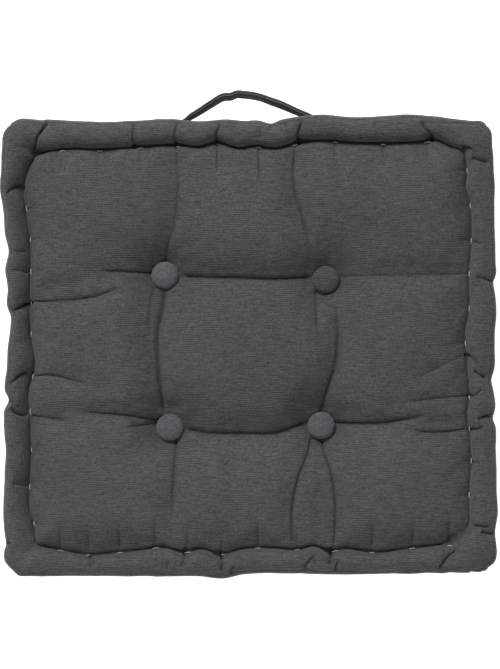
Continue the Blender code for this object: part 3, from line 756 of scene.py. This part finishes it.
def crease_casing(mesh):
    """Presses the creases and roll folds into the upper side, and keeps their painted shade."""
    points = mesh_points(mesh)
    normals = field_rows(mesh.vertices, "normal")
    x, y, z = points.T
    valley, core, lift = np.zeros((3, len(points)))
    pinch = np.zeros((len(points), 2))
    upper = z > CREASE_FLOOR
    downward = normals.copy()
    downward[:, 2] = np.maximum(downward[:, 2], 0.25)
    downward /= np.linalg.norm(downward, axis=1)[:, None]

    def press(line, depth, reach, sharp, step, fades):
        ends = np.array(line)
        margin = reach * 4.0
        near = upper & (x > ends[:, 0].min() - margin) & (x < ends[:, 0].max() + margin)
        near &= (y > ends[:, 1].min() - margin) & (y < ends[:, 1].max() + margin)
        index = np.nonzero(near)[0]
        away, step_x, step_y, side, along = nearest_on(x[index], y[index], line)
        fade = smooth(along / fades[0]) * smooth((1.0 - along) / fades[1])
        past = smooth(1.0 - np.maximum(0.0, away - reach) / (3.0 * reach))
        valley[index] = np.maximum(valley[index], depth * np.exp(-away / reach) * fade * past)
        core[index] = np.maximum(core[index], sharp * np.exp(-(away / CORE_REACH) ** 1.5) * fade)
        pull = PINCH * np.exp(-(away / PINCH_REACH) ** 2) * fade
        pinch[index] += np.stack([step_x * pull, step_y * pull], axis=1)
        if step:
            lift[index] += step * side * np.exp(-away / STEP_REACH) * smooth(away / 0.0016) * fade

    for line, depth, reach, sharp in CREASES:
        press(line, depth, reach, sharp, 0.0, (end_fade(line[0]), end_fade(line[-1])))
    for side in SIDES:
        run, depth, sharp = PLEATS[side]
        for place in STITCHES[side]:
            inset = groove_inset(side, place, True)
            line = [side_point(side, place, inset + reach) for reach in (-0.003, run / 3.0, run)]
            press(line, depth, PLEAT_REACH, sharp, 0.0, PLEAT_FADES)
    for line, depth, reach, sharp, step in ROLL_FOLDS:
        press(line, depth, reach, sharp, step, FOLD_FADES)
    seam, pucker, ripple, groove = seams_and_ripples(mesh, points)
    points += downward * (lift - valley - core - seam * pucker)[:, None] + normals * ripple[:, None]
    points[:, :2] += pinch * smooth((normals[:, 2] + 0.2) * 3.0)[:, None]
    # Painted shade in the crease cores, along the seams, in the groove and round each upper button
    shade = core / CORE_SHADE + seam / SEAM_SINK * 0.4 + groove * 0.9
    for box in TOP_BUTTONS.values():
        past = np.maximum(button_distance(x, y, box) - GATHER_START, 0.0)
        shade += np.where(z > EDGE / 2.0, GATHER_SHADE * np.exp(-past / GATHER_REACH), 0.0)
    points[:, 2] = np.maximum(points[:, 2], 0.0)
    set_points(mesh, points)
    keep_on_points(mesh, "painted_shade", np.clip(shade, 0.0, 1.0))


def lay_cloth(mesh):
    """Lays the weave on the casing: from above on its level faces, along each side on its walls."""
    face, vertex = face_corners(mesh)
    normal = np.abs(field_rows(mesh.polygons, "normal"))[face]
    at = mesh_points(mesh)[vertex]
    level = normal[:, 2] > 0.68
    along_x = normal[:, 1] > normal[:, 0]
    u = np.where(level | along_x, at[:, 0], at[:, 1])
    v = np.where(level, at[:, 1], at[:, 2])
    lay_uv(mesh, u, v)


def make_casing():
    mesh = casing_cage()
    form_casing(mesh)
    obj = linked("cushion_casing", mesh)
    swell(obj)
    subdivide(obj, 2)
    crease_casing(obj.data)
    lay_cloth(obj.data)
    smooth_faces(obj.data)
    return obj


# --- threads ------------------------------------------------------------------------------

def stitch_shape():
    """One stitch at the origin along X: a twisted thread whose ends dive into the cloth."""
    bpy.ops.object.select_all(action="DESELECT")
    bpy.ops.mesh.primitive_uv_sphere_add(segments=10, ring_count=14, radius=0.5)
    obj = bpy.context.object
    edit_all(obj)
    bpy.ops.transform.resize(value=(THREAD, THREAD, STITCH_LENGTH), center_override=(0.0, 0.0, 0.0))
    bpy.ops.object.mode_set(mode="OBJECT")
    z, y, x = mesh_points(obj.data).T
    swollen = 1.0 + 0.16 * np.sin(2.0 * np.arctan2(y, z) + x / STITCH_LENGTH * THREAD_TWIST)
    bent = z * swollen - STITCH_DIVE * (2.0 * x / STITCH_LENGTH) ** 2
    faces = [tuple(polygon.vertices)[::-1] for polygon in obj.data.polygons]
    bpy.data.objects.remove(obj)
    return np.stack([x, y * swollen, bent], axis=1), faces


def sew(name, stitches, fine=1.0):
    """One piece of many stitches, each given by its middle, direction, upward side and length."""
    shape, faces = stitch_shape()
    shape = shape * np.array([1.0, fine, fine])
    points, all_faces = [], []
    for centre, forward, upward, length in stitches:
        forward = forward.normalized()
        across = upward.cross(forward).normalized()
        turn = np.array([forward, across, forward.cross(across).normalized()])
        scaled = shape * np.array([length / STITCH_LENGTH, 1.0, 1.0])
        all_faces += [tuple(index + len(points) * len(shape) for index in face) for face in faces]
        points.append(scaled @ turn + np.array(centre))
    obj = linked(name, new_mesh(name, np.concatenate(points).tolist(), all_faces))
    face_outwards(obj)
    return obj


def side_point(side, place, inset):
    """Where a place along a side lies, seen from above."""
    return {
        "back": (place, HALF_Y - inset),
        "front": (place, inset - HALF_Y),
        "left": (inset - HALF_X, place),
        "right": (HALF_X - inset, place),
    }[side]


def groove_inset(side, place, upper):
    """How far the upper or the lower groove lies from the straight edge."""
    sign = 1.0 if upper else -1.0
    inset = float(through(GROOVES[side], np.array([sign * place]))[0])
    return inset if upper else GROOVE_OUT + (inset - GROOVE_OUT) * LOW_GROOVE


def running_stitches(casing, upper):
    """The stitches that show in one groove, each laid on the cloth where it comes out."""
    stitches = []
    rng = np.random.default_rng(5 if upper else 6)
    sky = Vector((0.0, 0.0, 1.0 if upper else -1.0))
    for side in SIDES:
        for place in STITCHES[side]:
            ends = []
            for at in (place - 0.001, place + 0.001):
                x, y = side_point(side, at, groove_inset(side, at, upper) + SINKS[side])
                _, where, normal, _ = casing.ray_cast(Vector((x, y, EDGE / 2.0)) + sky * 0.2, -sky)
                ends.append((where, normal))
            (first, normal_a), (second, normal_b) = ends
            upward = (normal_a + normal_b + sky * 1.2).normalized()
            length = STITCH_LENGTH * rng.uniform(0.85, 1.2)
            stitches.append(((first + second) / 2.0 + upward * THREAD_LIFT, second - first, upward, length))
    return sew("top_stitching" if upper else "under_stitching", stitches)


# --- covered buttons ----------------------------------------------------------------------

# Rings of a covered button, from its foot to its crown: (radius, height)
BUTTON_RINGS = in_metres([
    (106, 0), (118, 5), (124, 16), (125, 28), (120, 42), (108, 54), (88, 63), (60, 69), (30, 72), (8, 73),
])


def button_shape():
    """A cloth-covered dome at the origin, its cloth tucked under the rim."""
    bpy.ops.object.select_all(action="DESELECT")
    bpy.ops.mesh.primitive_circle_add(vertices=64, radius=BUTTON_RINGS[0][0], fill_type="NOTHING")
    obj = bpy.context.object
    edit_all(obj)

    def raise_ring(height, ratio):
        bpy.ops.mesh.extrude_region_move(TRANSFORM_OT_translate={"value": (0.0, 0.0, height)})
        bpy.ops.transform.resize(value=(ratio, ratio, 1.0), center_override=(0.0, 0.0, 0.0))

    for (radius, height), (wider, higher) in zip(BUTTON_RINGS, BUTTON_RINGS[1:]):
        raise_ring(higher - height, wider / radius)
    bpy.ops.mesh.merge(type="CENTER")
    bpy.ops.mesh.select_all(action="DESELECT")
    bpy.ops.mesh.select_non_manifold()
    raise_ring(0.0004, 0.5)
    bpy.ops.mesh.merge(type="CENTER")
    bpy.ops.object.mode_set(mode="OBJECT")
    face_outwards(obj)
    subdivide(obj, 1)
    return obj


def make_buttons():
    """Four buttons on each side, one shape copied, each with its own tuck folds and weave direction."""
    shape = button_shape()
    made = []
    for number, (boxes, upper) in enumerate(((TOP_BUTTONS, True), (LOW_BUTTONS, False))):
        for index, place in enumerate(PLACES):
            rng = np.random.default_rng(20 + index + 10 * number)
            mesh = shape.data.copy()
            points = mesh_points(mesh)
            x, y, z = points.T
            angle = np.arctan2(y, x)
            rim = np.exp(-(z - 0.0014) ** 2 / 0.0018 ** 2)
            folds = np.zeros(len(points))
            for waves in (9, 14, 23):
                folds += np.sin(angle * waves + rng.uniform(0.0, 6.28)) * rng.uniform(0.4, 1.0)
            points[:, :2] *= (1.0 + 0.010 * folds * rim)[:, None]
            points[:, 2] += 0.0002 * soft_noise(x, y, 0.006, 40 + index)
            turn = rng.uniform(-0.5, 0.5)
            u, v = x * np.cos(turn) - y * np.sin(turn), x * np.sin(turn) + y * np.cos(turn)
            centre_x, centre_y = middle(boxes[place])
            if upper:
                points[:, 2] += boxes[place][0].z
            else:
                points[:, 1] *= -1.0
                points[:, 2] = boxes[place][1].z - points[:, 2]
            set_points(mesh, points + np.array([centre_x, centre_y, 0.0]))
            vertex = face_corners(mesh)[1]
            lay_uv(mesh, u[vertex] + centre_x, v[vertex] + centre_y)
            smooth_faces(mesh)
            name = ("top_button_" if upper else "under_button_") + place
            obj = linked(name, mesh)
            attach(obj, "cushion")
            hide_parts(("top" if upper else "bottom") + "_button_cover_" + place)
            made.append((obj, place))
    bpy.data.objects.remove(shape)
    return made


# --- carrying strap -----------------------------------------------------------------------

def strap_line(x):
    """How far back the strap's middle runs at each x."""
    root = np.where(x < STRAP_APEX, STRAP_ROOTS[0], STRAP_ROOTS[1])
    share = np.clip(np.abs((x - STRAP_APEX) / (root - STRAP_APEX)), 0.0, 1.0)
    rise = 0.5 + 0.5 * np.cos(math.pi * share ** STRAP_BOW)
    kinks = sum(height * np.exp(-((x - place) / reach) ** 2) for place, reach, height in STRAP_KINKS)
    sunk = STRAP_FLAT - TAB_SINK * (1.0 - smooth(rise * 5.0))
    return sunk + (STRAP_TOP - STRAP_FLAT + kinks) * rise


def make_strap():
    """One folded tape: a tab sewn to the band, the loop, and the second tab."""
    section = np.array(STRAP_OUTLINE) * np.array([STRAP_THICK / 2.0, STRAP_WIDE / 2.0])
    ring = len(section)
    x = np.linspace(STRAP_ROOTS[0] - STRAP_TAB, STRAP_ROOTS[1] + STRAP_TAB, 150)
    y = strap_line(x)
    slope = np.gradient(y, x)
    bow = np.clip((y - STRAP_FLAT) / (STRAP_TOP - STRAP_FLAT), 0.0, 1.0)
    tilt = STRAP_TILT * smooth(bow * 1.6)
    wobble = soft_noise(x, x * 0.0, 0.013, 71)
    perimeter = np.concatenate([[0.0], np.cumsum(np.hypot(*np.diff(section, axis=0).T))])
    run = np.concatenate([[0.0], np.cumsum(np.hypot(np.diff(x), np.diff(y)))])
    vertices = []
    for index in range(len(x)):
        along = np.array([1.0, slope[index]]) / math.hypot(1.0, slope[index])
        thin = 0.55 + 0.45 * smooth(bow[index] * 6.0)
        off, up = section[:, 0] * thin, section[:, 1]
        off = off + 0.0003 * wobble[index] * np.sin(up / 0.0035)
        leaned = off * math.cos(tilt[index]) + up * math.sin(tilt[index])
        raised = up * math.cos(tilt[index]) - off * math.sin(tilt[index])
        raised = raised + 0.0006 * wobble[index] * bow[index]
        for out, rise in zip(leaned, raised):
            vertices.append((x[index] - along[1] * out, y[index] + along[0] * out, STRAP_MIDDLE + rise))
    walls = (len(x) - 1) * ring
    faces = []
    for first in range(0, walls, ring):
        for k in range(ring):
            a, b = first + k, first + (k + 1) % ring
            faces.append((a, b, b + ring, a + ring))
    faces.append(tuple(range(ring))[::-1])
    faces.append(tuple(range(walls, walls + ring)))
    mesh = new_mesh("carrying_strap", vertices, faces)
    face, vertex = face_corners(mesh)
    closing = (face < walls) & (face % ring == ring - 1) & (vertex % ring == 0)
    whole = perimeter[-1] + np.hypot(*(section[0] - section[-1]))
    lay_uv(mesh, run[vertex // ring], np.where(closing, whole, perimeter[vertex % ring]))
    # Painted highlight along the lit open fold of the upper edge, and a fainter one near the outer corner
    spots = np.arange(ring)
    highlight_amount = np.exp(-((spots - 13.4) / 1.1) ** 2) + 0.3 * np.exp(-((spots - 9.6) / 0.9) ** 2)
    keep_on_points(mesh, "painted_ridge_highlight", np.outer(0.75 + 0.5 * wobble, highlight_amount).ravel())
    obj = linked("carrying_strap", mesh)
    face_outwards(obj)
    subdivide(obj, 1)
    return obj


def tab_stitches():
    """A sewn box with a cross on each tab."""
    stitches = []
    outward = Vector((0.0, 1.0, 0.0))
    face = STRAP_FLAT - TAB_SINK + STRAP_THICK * 0.275
    low, high = STRAP_MIDDLE - TAB_BOX, STRAP_MIDDLE + TAB_BOX
    for root, sign in ((STRAP_ROOTS[0], -1.0), (STRAP_ROOTS[1], 1.0)):
        near, far = root + sign * TAB_NEAR, root + sign * (STRAP_TAB - TAB_FAR)
        corners = [Vector((x, face, z)) for x, z in ((near, low), (far, low), (far, high), (near, high))]
        for a, b in ((0, 1), (1, 2), (2, 3), (3, 0), (0, 2), (1, 3)):
            start, end = corners[a], corners[b]
            count = max(2, round((end - start).length / TAB_PITCH))
            for index in range(count):
                stitches.append((start.lerp(end, (index + 0.5) / count), end - start, outward, TAB_STITCH))
    return sew("strap_stitching", stitches, TAB_THREAD)


# --- finishes -----------------------------------------------------------------------------

# Each cloth: its darker and lighter yarn, the width of its threads and ribs, how far they drift, its slubs,
# the height of its relief, its sheen, and whether it gets painted fold shade and a painted ridge highlight
CLOTHS = {
    "grey_cover_cloth": {
        "dark": (0.0400, 0.0396, 0.0398), "light": (0.1020, 0.1012, 0.1014), "thread": 0.0007,
        "rib": 0.00108, "drift": 0.008, "slubs": 0.4, "bump": 0.00035, "sheen": 0.12, "folds": True},
    "grey_strap_cloth": {
        "dark": (0.0420, 0.0416, 0.0416), "light": (0.1060, 0.1052, 0.1052), "thread": 0.0006,
        "rib": 0.0009, "drift": 0.001, "slubs": 0.5, "bump": 0.00025, "sheen": 0.12, "painted_ridge_highlight": True},
    "blue_grey_button_cloth": {
        "dark": (0.053, 0.0545, 0.0575), "light": (0.119, 0.122, 0.1285), "thread": 0.0006,
        "rib": 0.0010, "drift": 0.001, "slubs": 0.7, "bump": 0.00028, "sheen": 0.2},
    "grey_button_cloth": {
        "dark": (0.036, 0.036, 0.0355), "light": (0.086, 0.086, 0.084), "thread": 0.0006,
        "rib": 0.0010, "drift": 0.001, "slubs": 0.5, "bump": 0.00022, "sheen": 0.12},
}


def wire(tree, value, socket):
    if isinstance(value, bpy.types.NodeSocket):
        tree.links.new(value, socket)
    else:
        socket.default_value = value


def filled(tree, kind, operation, values):
    """A maths node with its inputs filled in order."""
    node = tree.nodes.new(kind)
    node.operation = operation
    for socket, value in zip(node.inputs, values):
        wire(tree, value, socket)
    return node


def calc(tree, operation, *values, clamp=False):
    node = filled(tree, "ShaderNodeMath", operation, values)
    node.use_clamp = clamp
    return node.outputs[0]


def vector_calc(tree, operation, *values):
    return filled(tree, "ShaderNodeVectorMath", operation, values).outputs[0]


def noise(tree, vector, scale, detail=2.0, rough=0.5):
    node = tree.nodes.new("ShaderNodeTexNoise")
    node.inputs["Scale"].default_value = scale
    node.inputs["Detail"].default_value = detail
    node.inputs["Roughness"].default_value = rough
    wire(tree, vector, node.inputs["Vector"])
    return node


def blend_colour(tree, share, first, second, kind="MIX"):
    node = tree.nodes.new("ShaderNodeMix")
    node.data_type = "RGBA"
    node.blend_type = kind
    for label, value in (("Factor", share), ("A", first), ("B", second)):
        wire(tree, value, node.inputs[label])
    return node.outputs["Result"]


def rgba(colour, factor=1.0):
    return (*(part * factor for part in colour), 1.0)


def kept_value(tree, name):
    """A number kept with the points of the piece."""
    node = tree.nodes.new("ShaderNodeAttribute")
    node.attribute_name = name
    return node.outputs["Fac"]


def new_group(name, inputs, outputs):
    tree = bpy.data.node_groups.new(name, "ShaderNodeTree")
    for label, kind, value in inputs:
        socket = tree.interface.new_socket(label, in_out="INPUT", socket_type=kind)
        if value is not None:
            socket.default_value = value
    for label, kind in outputs:
        tree.interface.new_socket(label, in_out="OUTPUT", socket_type=kind)
    return tree, tree.nodes.new("NodeGroupInput"), tree.nodes.new("NodeGroupOutput")


def weave_group():
    """Plain weave with uneven yarn: crossing threads, long streaks both ways, slubs and specks."""
    tree, given, result = new_group(
        "plain_weave",
        [("Place", "NodeSocketVector", None), ("Thread", "NodeSocketFloat", 0.0006),
         ("Rib", "NodeSocketFloat", 0.0012), ("Drift", "NodeSocketFloat", 0.002),
         ("Slubs", "NodeSocketFloat", 0.5)],
        [("Tone", "NodeSocketFloat"), ("Height", "NodeSocketFloat")])

    def maths(operation, *values, clamp=False):
        return calc(tree, operation, *values, clamp=clamp)

    # The yarn drifts a little from straight
    place = given.outputs["Place"]
    sway = vector_calc(tree, "SUBTRACT", noise(tree, place, 16.0, 1.0).outputs["Color"], (0.5, 0.5, 0.5))
    scaled = tree.nodes.new("ShaderNodeVectorMath")
    scaled.operation = "SCALE"
    wire(tree, sway, scaled.inputs[0])
    wire(tree, given.outputs["Drift"], scaled.inputs["Scale"])
    split = tree.nodes.new("ShaderNodeSeparateXYZ")
    wire(tree, vector_calc(tree, "ADD", place, scaled.outputs[0]), split.inputs[0])
    u, v = split.outputs[0], split.outputs[1]

    def stretched(u_scale, v_scale, seed, detail=1.0):
        join = tree.nodes.new("ShaderNodeCombineXYZ")
        wire(tree, maths("MULTIPLY", u, u_scale), join.inputs[0])
        wire(tree, maths("MULTIPLY", v, v_scale), join.inputs[1])
        join.inputs[2].default_value = seed
        return noise(tree, join.outputs[0], 1.0, detail, 0.6).outputs[0]

    # Uneven yarn: streaks along the weft and the warp, ribs in patches, specks
    across = maths("DIVIDE", 1.0, given.outputs["Rib"])
    long_streak = stretched(70.0, across, 0.0)
    short_streak = stretched(330.0, across, 3.7)
    upright = stretched(maths("MULTIPLY", across, 0.9), 250.0, 8.1)
    wander = maths("MULTIPLY", stretched(22.0, 60.0, 21.0), 9.0)
    ribs = maths("SINE", maths("MULTIPLY_ADD", maths("MULTIPLY", v, across), 4.2, wander))
    patches = maths("SUBTRACT", stretched(26.0, 26.0, 30.0), 0.34, clamp=True)
    ribs = maths("MULTIPLY", ribs, maths("MULTIPLY", patches, 1.575))
    specks = stretched(700.0, across, 13.3, 0.0)

    # Crossing threads, one over and one under
    step = maths("DIVIDE", math.pi, given.outputs["Thread"])
    wave_u, wave_v = (maths("SINE", maths("MULTIPLY", along, step)) for along in (u, v))
    over = maths("MULTIPLY_ADD", maths("MULTIPLY", wave_u, wave_v), 0.5, 0.5)
    lifted_u = maths("MULTIPLY", maths("ABSOLUTE", wave_u), over)
    lifted_v = maths("MULTIPLY", maths("ABSOLUTE", wave_v), maths("SUBTRACT", 1.0, over))
    threads = maths("MAXIMUM", lifted_u, lifted_v)

    # Tone and height of the cloth
    rows = maths("MULTIPLY_ADD", long_streak, 1.1, short_streak)
    mean = maths("MULTIPLY", maths("MULTIPLY_ADD", upright, 0.8, rows), 1.0 / 2.9)
    spread = maths("MULTIPLY_ADD", maths("SUBTRACT", mean, 0.5), 3.6, 0.5)
    spread = maths("ADD", spread, ribs)
    slub = maths("MULTIPLY", maths("SUBTRACT", specks, 0.58, clamp=True), 4.5)
    dark = maths("MULTIPLY", maths("SUBTRACT", 0.34, specks, clamp=True), 2.6)
    flecks = maths("MULTIPLY", maths("SUBTRACT", slub, dark), given.outputs["Slubs"])
    tone = maths("ADD", spread, flecks)
    tone = maths("MULTIPLY_ADD", maths("SUBTRACT", threads, 0.5), 0.25, tone)
    wire(tree, maths("MINIMUM", maths("MAXIMUM", tone, 0.0), 1.0), result.inputs["Tone"])
    height = maths("MULTIPLY_ADD", spread, 0.5, maths("MULTIPLY", threads, 0.5))
    wire(tree, height, result.inputs["Height"])
    return tree


def mottle_group():
    """Slow change of shade over a piece, from wear and dye."""
    tree, given, result = new_group(
        "dye_mottle",
        [("Place", "NodeSocketVector", None), ("Size", "NodeSocketFloat", 12.0),
         ("Amount", "NodeSocketFloat", 0.12)],
        [("Shade", "NodeSocketColor")])
    node = noise(tree, given.outputs["Place"], 12.0, 3.0)
    wire(tree, given.outputs["Size"], node.inputs["Scale"])
    centred = calc(tree, "SUBTRACT", node.outputs[0], 0.5)
    shade = calc(tree, "MULTIPLY_ADD", centred, given.outputs["Amount"], 1.0)
    warm = calc(tree, "MULTIPLY_ADD", centred, 0.05, 1.0)
    cool = calc(tree, "MULTIPLY_ADD", centred, -0.03, 1.0)
    join = tree.nodes.new("ShaderNodeCombineColor")
    wire(tree, calc(tree, "MULTIPLY", shade, warm), join.inputs[0])
    wire(tree, shade, join.inputs[1])
    wire(tree, calc(tree, "MULTIPLY", shade, cool), join.inputs[2])
    wire(tree, join.outputs[0], result.inputs["Shade"])
    return tree


def blank(name, rough, metal=0.0):
    material = bpy.data.materials.new(name)
    material.use_nodes = True
    tree = material.node_tree
    shader = tree.nodes["Principled BSDF"]
    shader.inputs["Roughness"].default_value = rough
    shader.inputs["Metallic"].default_value = metal
    return material, tree, shader


def use_group(tree, group, **values):
    node = tree.nodes.new("ShaderNodeGroup")
    node.node_tree = group
    for label, value in values.items():
        wire(tree, value, node.inputs[label])
    return node


def object_place(tree):
    return tree.nodes.new("ShaderNodeTexCoord").outputs["Object"]


def mottled(tree, mottle, colour, **values):
    """A colour with the slow change of shade laid over it."""
    shade = use_group(tree, mottle, Place=object_place(tree), **values)
    return blend_colour(tree, 1.0, colour, shade.outputs["Shade"], "MULTIPLY")


def add_bump(tree, shader, height, distance, strength=1.0):
    bump = tree.nodes.new("ShaderNodeBump")
    bump.inputs["Strength"].default_value = strength
    bump.inputs["Distance"].default_value = distance
    wire(tree, height, bump.inputs["Height"])
    tree.links.new(bump.outputs[0], shader.inputs["Normal"])


def woven(name, groups, dark, light, thread, rib, drift, slubs, bump, sheen, folds=False, painted_ridge_highlight=False):
    """Woven cloth, its colour between a dark and a light yarn; painted fold shade and highlight if asked.
    """
    weave, mottle = groups
    material, tree, shader = blank(name, 0.92)
    cloth = tree.nodes.new("ShaderNodeUVMap")
    cloth.uv_map = "cloth"
    pitches = {"Thread": thread, "Rib": rib, "Drift": drift, "Slubs": slubs}
    threads = use_group(tree, weave, Place=cloth.outputs[0], **pitches)
    tone = threads.outputs["Tone"]
    colour = blend_colour(tree, tone, rgba(dark), rgba(light))
    colour = mottled(tree, mottle, colour, Size=14.0, Amount=0.35)
    # Painted shade: darker towards the dark yarn in creases, seams, groove and round the buttons
    if folds:
        depth = calc(tree, "MULTIPLY", kept_value(tree, "painted_shade"), 0.60)
        colour = blend_colour(tree, depth, colour, rgba(dark, 0.35))
    # Painted highlight: lighter colour along the strap's lit ridge
    if painted_ridge_highlight:
        highlight_amount = calc(tree, "MULTIPLY", kept_value(tree, "painted_ridge_highlight"), 0.8)
        colour = blend_colour(tree, highlight_amount, colour, rgba(light, 2.8))
    wire(tree, colour, shader.inputs["Base Color"])
    wire(tree, calc(tree, "MULTIPLY_ADD", tone, -0.08, 0.95), shader.inputs["Roughness"])
    shader.inputs["Sheen Weight"].default_value = sheen
    shader.inputs["Sheen Roughness"].default_value = 0.5
    shader.inputs["Specular IOR Level"].default_value = 0.25
    add_bump(tree, shader, threads.outputs["Height"], bump, 0.8)
    return material


def thread_finish(name, mottle, colour, pitch):
    """Twisted thread with lighter and darker strands."""
    material, tree, shader = blank(name, 0.8)
    strands = noise(tree, object_place(tree), pitch, 2.0, 0.6).outputs[0]
    tinted = blend_colour(tree, strands, rgba(colour, 0.72), rgba(colour))
    wire(tree, mottled(tree, mottle, tinted, Size=40.0, Amount=0.5), shader.inputs["Base Color"])
    wire(tree, calc(tree, "MULTIPLY_ADD", strands, 0.2, 0.7), shader.inputs["Roughness"])
    shader.inputs["Sheen Weight"].default_value = 0.2
    add_bump(tree, shader, strands, 0.0002, 0.7)
    return material


def metal_finish(name, mottle):
    """Pressed aluminium with fine turning marks."""
    material, tree, shader = blank(name, 0.35, 1.0)
    stretched = vector_calc(tree, "MULTIPLY", object_place(tree), (400.0, 400.0, 3000.0))
    marks = noise(tree, stretched, 1.0, 3.0).outputs[0]
    tint = mottled(tree, mottle, rgba((0.78, 0.79, 0.80)), Size=90.0, Amount=0.2)
    wire(tree, tint, shader.inputs["Base Color"])
    wire(tree, calc(tree, "MULTIPLY_ADD", marks, 0.25, 0.22), shader.inputs["Roughness"])
    add_bump(tree, shader, marks, 0.00005, 0.5)
    return material


def floor_finish():
    """Pale floor that glows a little, and is clear from below so that the underside can be seen."""
    material, tree, shader = blank("pale_floor", 0.9)
    shader.inputs["Base Color"].default_value = rgba((0.72, 0.72, 0.72))
    shader.inputs["Emission Color"].default_value = rgba((1.0, 1.0, 1.0))
    shader.inputs["Emission Strength"].default_value = FLOOR_GLOW
    clear = tree.nodes.new("ShaderNodeBsdfTransparent").outputs[0]
    below = tree.nodes.new("ShaderNodeNewGeometry").outputs["Backfacing"]
    mix = tree.nodes.new("ShaderNodeMixShader")
    for socket, value in zip(mix.inputs, (below, shader.outputs[0], clear)):
        wire(tree, value, socket)
    wire(tree, mix.outputs[0], tree.nodes["Material Output"].inputs["Surface"])
    return material


def dress(obj, material):
    obj.data.materials.clear()
    obj.data.materials.append(material)


# --- stage, light and camera --------------------------------------------------------------

VIEW_CENTRE = Vector((0.0005, 0.0114, 0.082))
VIEW_HEIGHT = 0.612                      # how much of that level the picture shows
LENS = 100.0
SENSOR = 36.0
FLOOR_GLOW = 0.88
FILL = 0.23                              # brightness of the studio all round


def add_camera():
    data = bpy.data.cameras.new("camera")
    data.lens = LENS
    data.sensor_width = SENSOR
    data.clip_start = 0.05
    data.clip_end = 20.0
    camera = linked("camera", data)
    camera.location = VIEW_CENTRE + Vector((0.0, 0.0, LENS / SENSOR * VIEW_HEIGHT))
    bpy.context.scene.camera = camera


def add_light(name, place, target, size, power):
    data = bpy.data.lights.new(name, "AREA")
    data.energy = power
    data.size = size
    light = linked(name, data)
    light.location = place
    light.rotation_euler = (Vector(target) - Vector(place)).to_track_quat("-Z", "Y").to_euler()


def add_stage():
    bpy.ops.object.select_all(action="DESELECT")
    bpy.ops.mesh.primitive_plane_add(size=8.0, location=(0.0, 0.0, -0.0003))
    floor = bpy.context.object
    floor.name = "floor"
    dress(floor, floor_finish())
    world = bpy.data.worlds.new("studio")
    world.use_nodes = True
    background = world.node_tree.nodes["Background"]
    background.inputs["Color"].default_value = rgba((1.0, 1.0, 1.0))
    seen = world.node_tree.nodes.new("ShaderNodeLightPath").outputs["Is Camera Ray"]
    strength = calc(world.node_tree, "MULTIPLY_ADD", seen, 1.0 - FILL, FILL)
    wire(world.node_tree, strength, background.inputs["Strength"])
    bpy.context.scene.world = world
    bpy.context.scene.view_settings.view_transform = "Standard"
    add_light("key", (-1.2, 2.9, 2.8), (0.0, 0.0, 0.05), size=1.4, power=156.0)
    add_light("front", (0.05, -0.62, 0.95), (0.0, -0.12, 0.05), size=0.6, power=3.2)


# --- putting it together ------------------------------------------------------------------

add_camera()
add_stage()

groups = (weave_group(), mottle_group())
cloths = {name: woven(name, groups, **yarn) for name, yarn in CLOTHS.items()}
pale_thread = thread_finish("pale_sewing_thread", groups[1], (0.46, 0.45, 0.43), 1800.0)
white_twine = thread_finish("tufting_twine", groups[1], (0.70, 0.67, 0.60), 900.0)
bright_metal = metal_finish("bright_button_metal", groups[1])

casing = make_casing()
dress(casing, cloths["grey_cover_cloth"])
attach(casing, "cushion")
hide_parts("top_panel", "bottom_panel", "band_front", "band_back", "band_left", "band_right",
            "fibre_filling")

bpy.context.view_layer.update()
for upper, thread_node in ((True, "top_roll_thread"), (False, "bottom_roll_thread")):
    stitching = running_stitches(casing, upper)
    dress(stitching, pale_thread)
    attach(stitching, "cushion")
    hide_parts(thread_node)

for button, place in make_buttons():
    dress(button, cloths["grey_button_cloth" if place == "back_right" else "blue_grey_button_cloth"])

strap = make_strap()
dress(strap, cloths["grey_strap_cloth"])
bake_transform(strap)
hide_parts("handle_strap", "handle_end_left", "handle_end_right")

tab_thread = tab_stitches()
dress(tab_thread, pale_thread)
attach(tab_thread, "cushion")

for name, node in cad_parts.items():
    if "button_shell" in name or "button_back" in name:
        dress(node, bright_metal)
    elif name.startswith("tuft_twine"):
        dress(node, white_twine)
